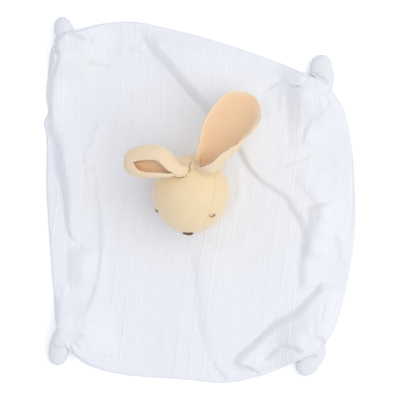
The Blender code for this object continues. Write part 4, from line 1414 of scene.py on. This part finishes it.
@dataclass
class Ear:
    """One cupped ear: an outer velour panel with a rolled rim, and a lining in its hollow."""

    name: str
    head: Head
    root_across: float
    root_behind: float
    stations: tuple
    square_to: Optional[float] = None
    open_tip: bool = True
    length: float = 92 * MM
    thickness: float = 2.0 * MM
    lining: float = 1.2 * MM
    floor_pad: float = 0.0
    pad_across: tuple = (0.58, 0.24)
    creases: float = 0.0
    root_roll: float = 0.0
    rims: tuple = (3.6 * MM, 3.6 * MM)
    rises: tuple = (1.1 * MM, 1.1 * MM)
    cells: tuple = (120, 110)
    outer_area: float = 0.0045
    lining_area: float = 0.0036
    lining_from: float = 0.07
    thread: float = 0.26 * MM
    bend: tuple = ()
    fold_stitches: tuple = ()
    # A thread line on the head along the ear's foot, partly real stitching and partly painted contact shadow of
    # the ear.
    root_stitches_and_shadow: tuple = ()
    rows: np.ndarray = field(init=False)
    root: np.ndarray = field(init=False)

    def __post_init__(self) -> None:
        """Lay out the stations from the root."""
        self.rows = np.array([
            (*(value * MM for value in (each.across, each.behind, each.up)),
             *(math.radians(value) for value in (each.turn, each.left, each.right)),
             each.wide * MM, each.high * MM, math.radians(each.swing))
            for each in self.stations
        ])
        direction = self.head.direction(self.root_across + self.head.roll, -self.root_behind)
        self.root = np.array(self.head.centre) + np.array(direction) * (self.head.radius + 0.3 * MM)

    def points(self, u: np.ndarray, v: np.ndarray, inset: np.ndarray) -> np.ndarray:
        """Points of the ear's cloth.

        Args:
            u: shares from root to tip.
            v: shares round the hollow, from right to left.
            inset: how far each point is moved towards the hollow.

        Returns:
            One row for each point.
        """
        step = 0.5 / (len(self.rows) - 1)
        rows = spline(self.rows, u)
        if self.square_to is None:
            ahead = spline(self.rows[:, :3], u + step) - spline(self.rows[:, :3], u - step)
        else:
            ahead = np.tile((*heading(self.square_to), 0.0), (len(u), 1))
        ahead /= np.linalg.norm(ahead, axis=1)[:, None]
        cos, sin = np.cos(rows[:, 8]), np.sin(rows[:, 8])
        x, y, z = ahead.T
        ahead = np.stack([x * cos - y * sin, x * sin + y * cos, z], axis=1)
        left = np.cross((0, 0, 1), ahead)
        left /= np.linalg.norm(left, axis=1)[:, None]
        turn, wide, high = rows[:, 3], rows[:, 6:7], rows[:, 7:8]
        hollow = np.cross(ahead, left) * np.cos(turn)[:, None] + left * np.sin(turn)[:, None]
        aside = np.cross(hollow, ahead)
        reach = np.minimum(rows[:, 4] + rows[:, 5], math.radians(359.8))
        angle = (v * reach - rows[:, 5])[:, None]
        inward = np.hstack([-high * np.sin(angle), wide * np.cos(angle)])
        inward *= (inset / np.linalg.norm(inward, axis=1))[:, None]
        across = wide * np.sin(angle) + inward[:, :1]
        up = high * (1 - np.cos(angle)) + inward[:, 1:]
        return self.root + rows[:, :3] + hollow * up + aside * across

    def half_cloth(self, u: np.ndarray) -> np.ndarray:
        """Half the cloth's width over its curve."""
        rows = spline(self.rows, u)
        return (rows[:, 4] + rows[:, 5]) / 2 * (rows[:, 6] + rows[:, 7]) / 2

    def sewn_up(self, u: np.ndarray) -> np.ndarray:
        """How far the two edges meet, from 0 to 1."""
        rows = spline(self.rows, u)
        return smooth_step((np.degrees(rows[:, 4] + rows[:, 5]) - 350) / 8)

    def from_edge(self, u: np.ndarray, v: np.ndarray) -> np.ndarray:
        """Distance over the cloth from the ear's free edge."""
        aside = (1 - np.abs(2 * v - 1)) * self.half_cloth(u)
        return np.minimum(aside, (1 - u) * self.length * 1.08) if self.open_tip else aside

    def by_side(self, pair: tuple, v: np.ndarray) -> np.ndarray:
        """A size that runs from the left edge's value to the right edge's."""
        return pair[0] + (pair[1] - pair[0]) * smooth_step((0.75 - v) / 0.5)

    def rim(self, u: np.ndarray, v: np.ndarray) -> np.ndarray:
        """Width of the rolled rim, wider on the left towards the root."""
        wider = 1 + self.root_roll * smooth_step((v - 0.5) / 0.3) * np.exp(-((u / 0.34) ** 2))
        return self.by_side(self.rims, v) * wider

    def build(self) -> None:
        """Make the outer panel and the lining."""
        def outer_place(u: np.ndarray, v: np.ndarray, layer: int) -> np.ndarray:
            """Points of the outer panel, closer together towards its edges."""
            u, v = 1 - (1 - u) ** 1.4, v - 0.13 * np.sin(2 * math.pi * v)
            rim = self.rim(u, v)
            off = self.from_edge(u, v) + self.sewn_up(u) * rim
            roll = np.sqrt(np.maximum(1 - ((off / rim) * 2 - 1) ** 2, 0)) * (off < rim)
            if layer:
                return self.points(u, v, self.by_side(self.rises, v) * roll)
            skin = waves(self.points(u, v, 0 * u), 14 * MM) * 0.3 * MM
            return self.points(u, v, skin - self.thickness * np.minimum(1, np.sqrt(off / (1.5 * MM))))

        def lining_shares(u: np.ndarray, v: np.ndarray) -> tuple:
            """Where on the outer panel a share of the lining lies."""
            margin = np.clip(0.7 * self.rim(u, v) / np.maximum(self.half_cloth(u), 1e-6), 0, 0.45)
            reach = 1 - self.lining_from - 0.7 * self.rims[0] / self.length
            return self.lining_from + u * reach, 0.5 + (v - 0.5) * (1 - margin)

        def lining_place(u: np.ndarray, v: np.ndarray, layer: int) -> np.ndarray:
            """Points of the lining."""
            middle, spread = self.pad_across
            pad = self.floor_pad * np.exp(-(((v - middle) / spread) ** 2))
            pad = 1 + pad * smooth_step(6 * u) * smooth_step(6 * (1 - u))
            u, v = lining_shares(u, v)
            creased = 0.4 * MM * np.sin(30 * v + 9 * u) * np.exp(-(((u - 0.32) / 0.15) ** 2)) * self.creases
            raised = (0.3 * MM) if layer else 0.3 * MM + self.lining * pad + creased
            return self.points(u, v, raised + 0 * u)

        def lining_flat(u: np.ndarray, v: np.ndarray, layer: int) -> np.ndarray:
            """The lining's distance from its edge, which sets its painted edge light and painted hollow shade,
            and its place along the ear.
            """
            u, v = lining_shares(u, v)
            return np.column_stack([self.from_edge(u, v), u * self.length])

        bend = ()
        if self.bend:
            bend = ("head", *(tuple(self.root + np.array((across * MM, 0, 0))) for across in self.bend))
        outer = shell(self.cells, outer_place)
        outer = make_piece(self.name + "_velour", outer, self.name, EAR_VELOUR, [self.name + "_outer"], bend)
        lining = shell((90, 80), lining_place, flat=lining_flat)
        lining = make_piece(self.name + "_plush", lining, self.name, LINING, [self.name + "_lining"], bend)
        if self.fold_stitches:
            shares = np.linspace(*self.fold_stitches, 41)
            aside = 0.4 * MM / self.half_cloth(shares)
            line = self.points(shares, aside, 0 * shares - 1.7 * MM)
            self.sew(self.name + "_fold_stitches", line, self.name)
        # Root stitches: a dark thread line on the head along the ear's foot, partly real sewing and partly
        # painted contact shadow.
        if self.root_stitches_and_shadow:
            line = even_spline(np.array(self.root_stitches_and_shadow, float) * MM, 40)
            off = line - np.array(self.head.centre)[:2]
            down = np.sqrt(np.maximum((self.head.radius + 0.3 * MM) ** 2 - np.sum(off**2, axis=1), 0))
            line = np.column_stack([line, self.head.centre[2] + down])
            self.sew(self.name + "_root_stitches_and_shadow", line, "head")

    def sew(self, name: str, line: np.ndarray, body: str) -> None:
        """Lay small stitches along a line.

        Args:
            name: the piece's name.
            line: points of the line.
            body: the body that the stitches ride on.
        """
        bm = bmesh.new()
        for start in range(0, len(line) - 4, 4):
            run = line[start : start + 5]
            add_tube(bm, run, self.thread * np.array((0.7, 1, 1, 1, 0.7)), 8)
        face_outwards(bm)
        make_piece(name, bm, body, TAN_THREAD)


LEFT_EAR = (
    Station(4.8, -2.7, 3.4, 0, 122, 232, 1.4, 2.4),
    Station(1.1, -4.1, 4.4, 0, 122, 232, 2.9, 3.6),
    Station(-3.6, -3.2, 5.2, 0, 120, 234, 4.9, 5.0),
    Station(-8.7, 0.9, 5.8, 0, 119, 234, 8.0, 6.6),
    Station(-13.9, 2.9, 5.8, 0, 119, 217, 11.1, 8.2),
    Station(-19.5, 4.4, 5.2, 0, 124, 195, 12.9, 9.2),
    Station(-24.5, 4.9, 4.2, 0, 128, 180, 13.6, 9.6),
    Station(-30.0, 5.0, 3.0, 0, 130, 177, 13.9, 9.6),
    Station(-36.0, 4.8, 1.6, 0, 134, 177, 13.6, 9.5),
    Station(-42.2, 4.6, 0.4, 0, 145, 178, 12.8, 9.0),
    Station(-46.8, 4.4, -0.3, 0, 177, 183, 11.4, 8.2),
    Station(-51.5, 4.3, -0.2, 0, 179, 181, 8.9, 6.8),
    Station(-54.2, 4.1, 0.7, 0, 179, 181, 5.8, 4.9),
    Station(-55.6, 4.0, 2.2, 0, 179, 181, 2.8, 2.8),
    Station(-56.0, 4.0, 4.0, 0, 179, 181, 0.3, 0.4),
)
RIGHT_EAR = (
    Station(-17.6, 0.5, 3, 34, 125, 185, 1.2, 2.8, 18),
    Station(-12.3, 0.2, 2.6, 33, 116, 172, 5.4, 5.2, 14),
    Station(-7.9, 2.4, 3, 30, 110, 168, 8.8, 7, 10),
    Station(-4.3, 5.7, 4.2, 27, 104, 164, 11.6, 8.2, 5),
    Station(-1.4, 9.9, 5.2, 24.5, 98, 150, 13.5, 9.2),
    Station(1.1, 15.1, 5.3, 22, 92, 136, 15.2, 10.8),
    Station(4.1, 20.4, 3.6, 19.5, 85, 110, 17.9, 13.6),
    Station(7.5, 26.1, 0.8, 17.5, 76, 88, 21, 17.4),
    Station(10.9, 33.1, -3.5, 15.2, 66, 71, 24.2, 22.2),
    Station(15.2, 40.9, -8.4, 13, 58, 60, 27, 26.5),
    Station(19.9, 48.6, -13.6, 11, 52.5, 53, 29, 28.8),
    Station(23.9, 55.6, -18.3, 9, 48.5, 48, 29.7, 28.3),
    Station(27.5, 61.7, -22.4, 7, 44.5, 44, 28.7, 27),
    Station(31.4, 66.3, -25.5, 6, 37.5, 40, 26.5, 25),
    Station(34, 69.3, -27.5, 5, 30.5, 35.5, 24.4, 23),
    Station(36.2, 71.9, -28.9, 5, 25, 30, 19.5, 19),
    Station(37.4, 73.2, -29.7, 5, 17, 22, 15.3, 15),
    Station(37.9, 73.9, -30.1, 5, 8.6, 8.6, 12, 12),
)
# Stitches along the foot of the left ear on the head: partly sewing thread, and partly a dark line standing in
# for the ear's contact shadow, which is painted shadow.
LEFT_ROOT_STITCHES_AND_SHADOW = (
    (-25, 22.4), (-21.5, 21.4), (-17.3, 21), (-14.3, 22.9), (-11.2, 26.2), (-9.1, 29.4), (-10.2, 31.7),
    (-8.4, 36.2),
)


# Studio


@dataclass
class Studio:
    """A pale floor, soft light from the lower right, and a camera straight overhead."""

    camera_height: float = 1.4
    view_width: float = 0.4
    sensor: float = 36.0
    floor_size: float = 6.0
    floor_white: float = 0.85
    floor_glow: float = 0.28
    ambient: float = 0.72
    ambient_tint: tuple = (0.93, 0.958, 1.085)
    key_power: float = 26.0
    key_size: float = 3.0
    key_distance: float = 2.4
    key_from: tuple = (0.50, 0.0, 1.0)
    key_tint: tuple = (1.0, 0.995, 0.905)

    def build_camera(self) -> None:
        """The overhead camera, its field as wide as the photograph's."""
        data = bpy.data.cameras.new("overhead")
        data.sensor_width = self.sensor
        data.lens = self.sensor * self.camera_height / self.view_width
        camera = add_object("overhead", data)
        camera.location = (0, 0, self.camera_height)
        bpy.context.scene.camera = camera

    def build_floor(self) -> None:
        """A white floor that keeps the object's shadow."""
        bm = bmesh.new()
        bmesh.ops.create_grid(bm, x_segments=1, y_segments=1, size=self.floor_size / 2)
        bmesh.ops.translate(bm, verts=bm.verts, vec=(0, 0, -0.1 * MM))
        mesh = bpy.data.meshes.new("floor")
        bm.to_mesh(mesh)
        bm.free()
        shader = Shader(bpy.data.materials.new("white_floor"))
        seen = shader.seen("Is Camera Ray", "Is Glossy Ray", "Is Transmission Ray")
        glow = shader.math("MULTIPLY", seen, self.floor_glow)
        shader.set(
            shader.bsdf, Base_Color=(*(self.floor_white,) * 3, 1), Roughness=0.9, Specular_IOR_Level=0.1,
            Emission_Color=WHITE, Emission_Strength=glow,
        )
        mesh.materials.append(shader.owner)
        add_object("floor", mesh)

    def build_light(self) -> None:
        """An even white room and one large soft lamp."""
        world = bpy.data.worlds.new("room")
        shader = Shader(world)
        ambient = (*(self.ambient * each for each in self.ambient_tint), 1)
        colour = shader.mix(shader.seen("Is Camera Ray", "Is Glossy Ray"), ambient, WHITE)
        shader.set(shader.tree.nodes["Background"], Color=colour)
        bpy.context.scene.world = world

        lamp = bpy.data.lights.new("key", "AREA")
        lamp.shape = "DISK"
        lamp.size = self.key_size
        lamp.energy = self.key_power
        lamp.color = self.key_tint
        key = add_object("key", lamp)
        towards = Vector(self.key_from).normalized()
        key.location = towards * self.key_distance
        key.rotation_euler = towards.to_track_quat("Z", "Y").to_euler()

    def build(self) -> None:
        """Set the whole scene."""
        bpy.context.scene.view_settings.view_transform = "Standard"
        self.build_camera()
        self.build_floor()
        self.build_light()


def main() -> None:
    """Make the object and the studio in order."""
    logging.basicConfig(level=logging.INFO, format="%(message)s", stream=sys.stdout)
    Studio().build()
    Blanket().build()
    head = Head()
    head.build()
    Neck(head).build()
    Ear(
        "ear_left", head, -14.8, 40.1, LEFT_EAR, square_to=180, open_tip=False, lining=2.4 * MM, floor_pad=3.6,
        bend=(1.0, -16.0), lining_area=0.0030, root_stitches_and_shadow=LEFT_ROOT_STITCHES_AND_SHADOW,
    ).build()
    Ear(
        "ear_right", head, 43.6, 32.8, RIGHT_EAR, creases=1.5, root_roll=1.1, rims=(4.5 * MM, 6.0 * MM),
        rises=(1.2 * MM, 1.8 * MM), outer_area=0.0050, lining_area=0.0036, fold_stitches=(0.10, 0.33),
    ).build()


if __name__ == "__main__":
    main()
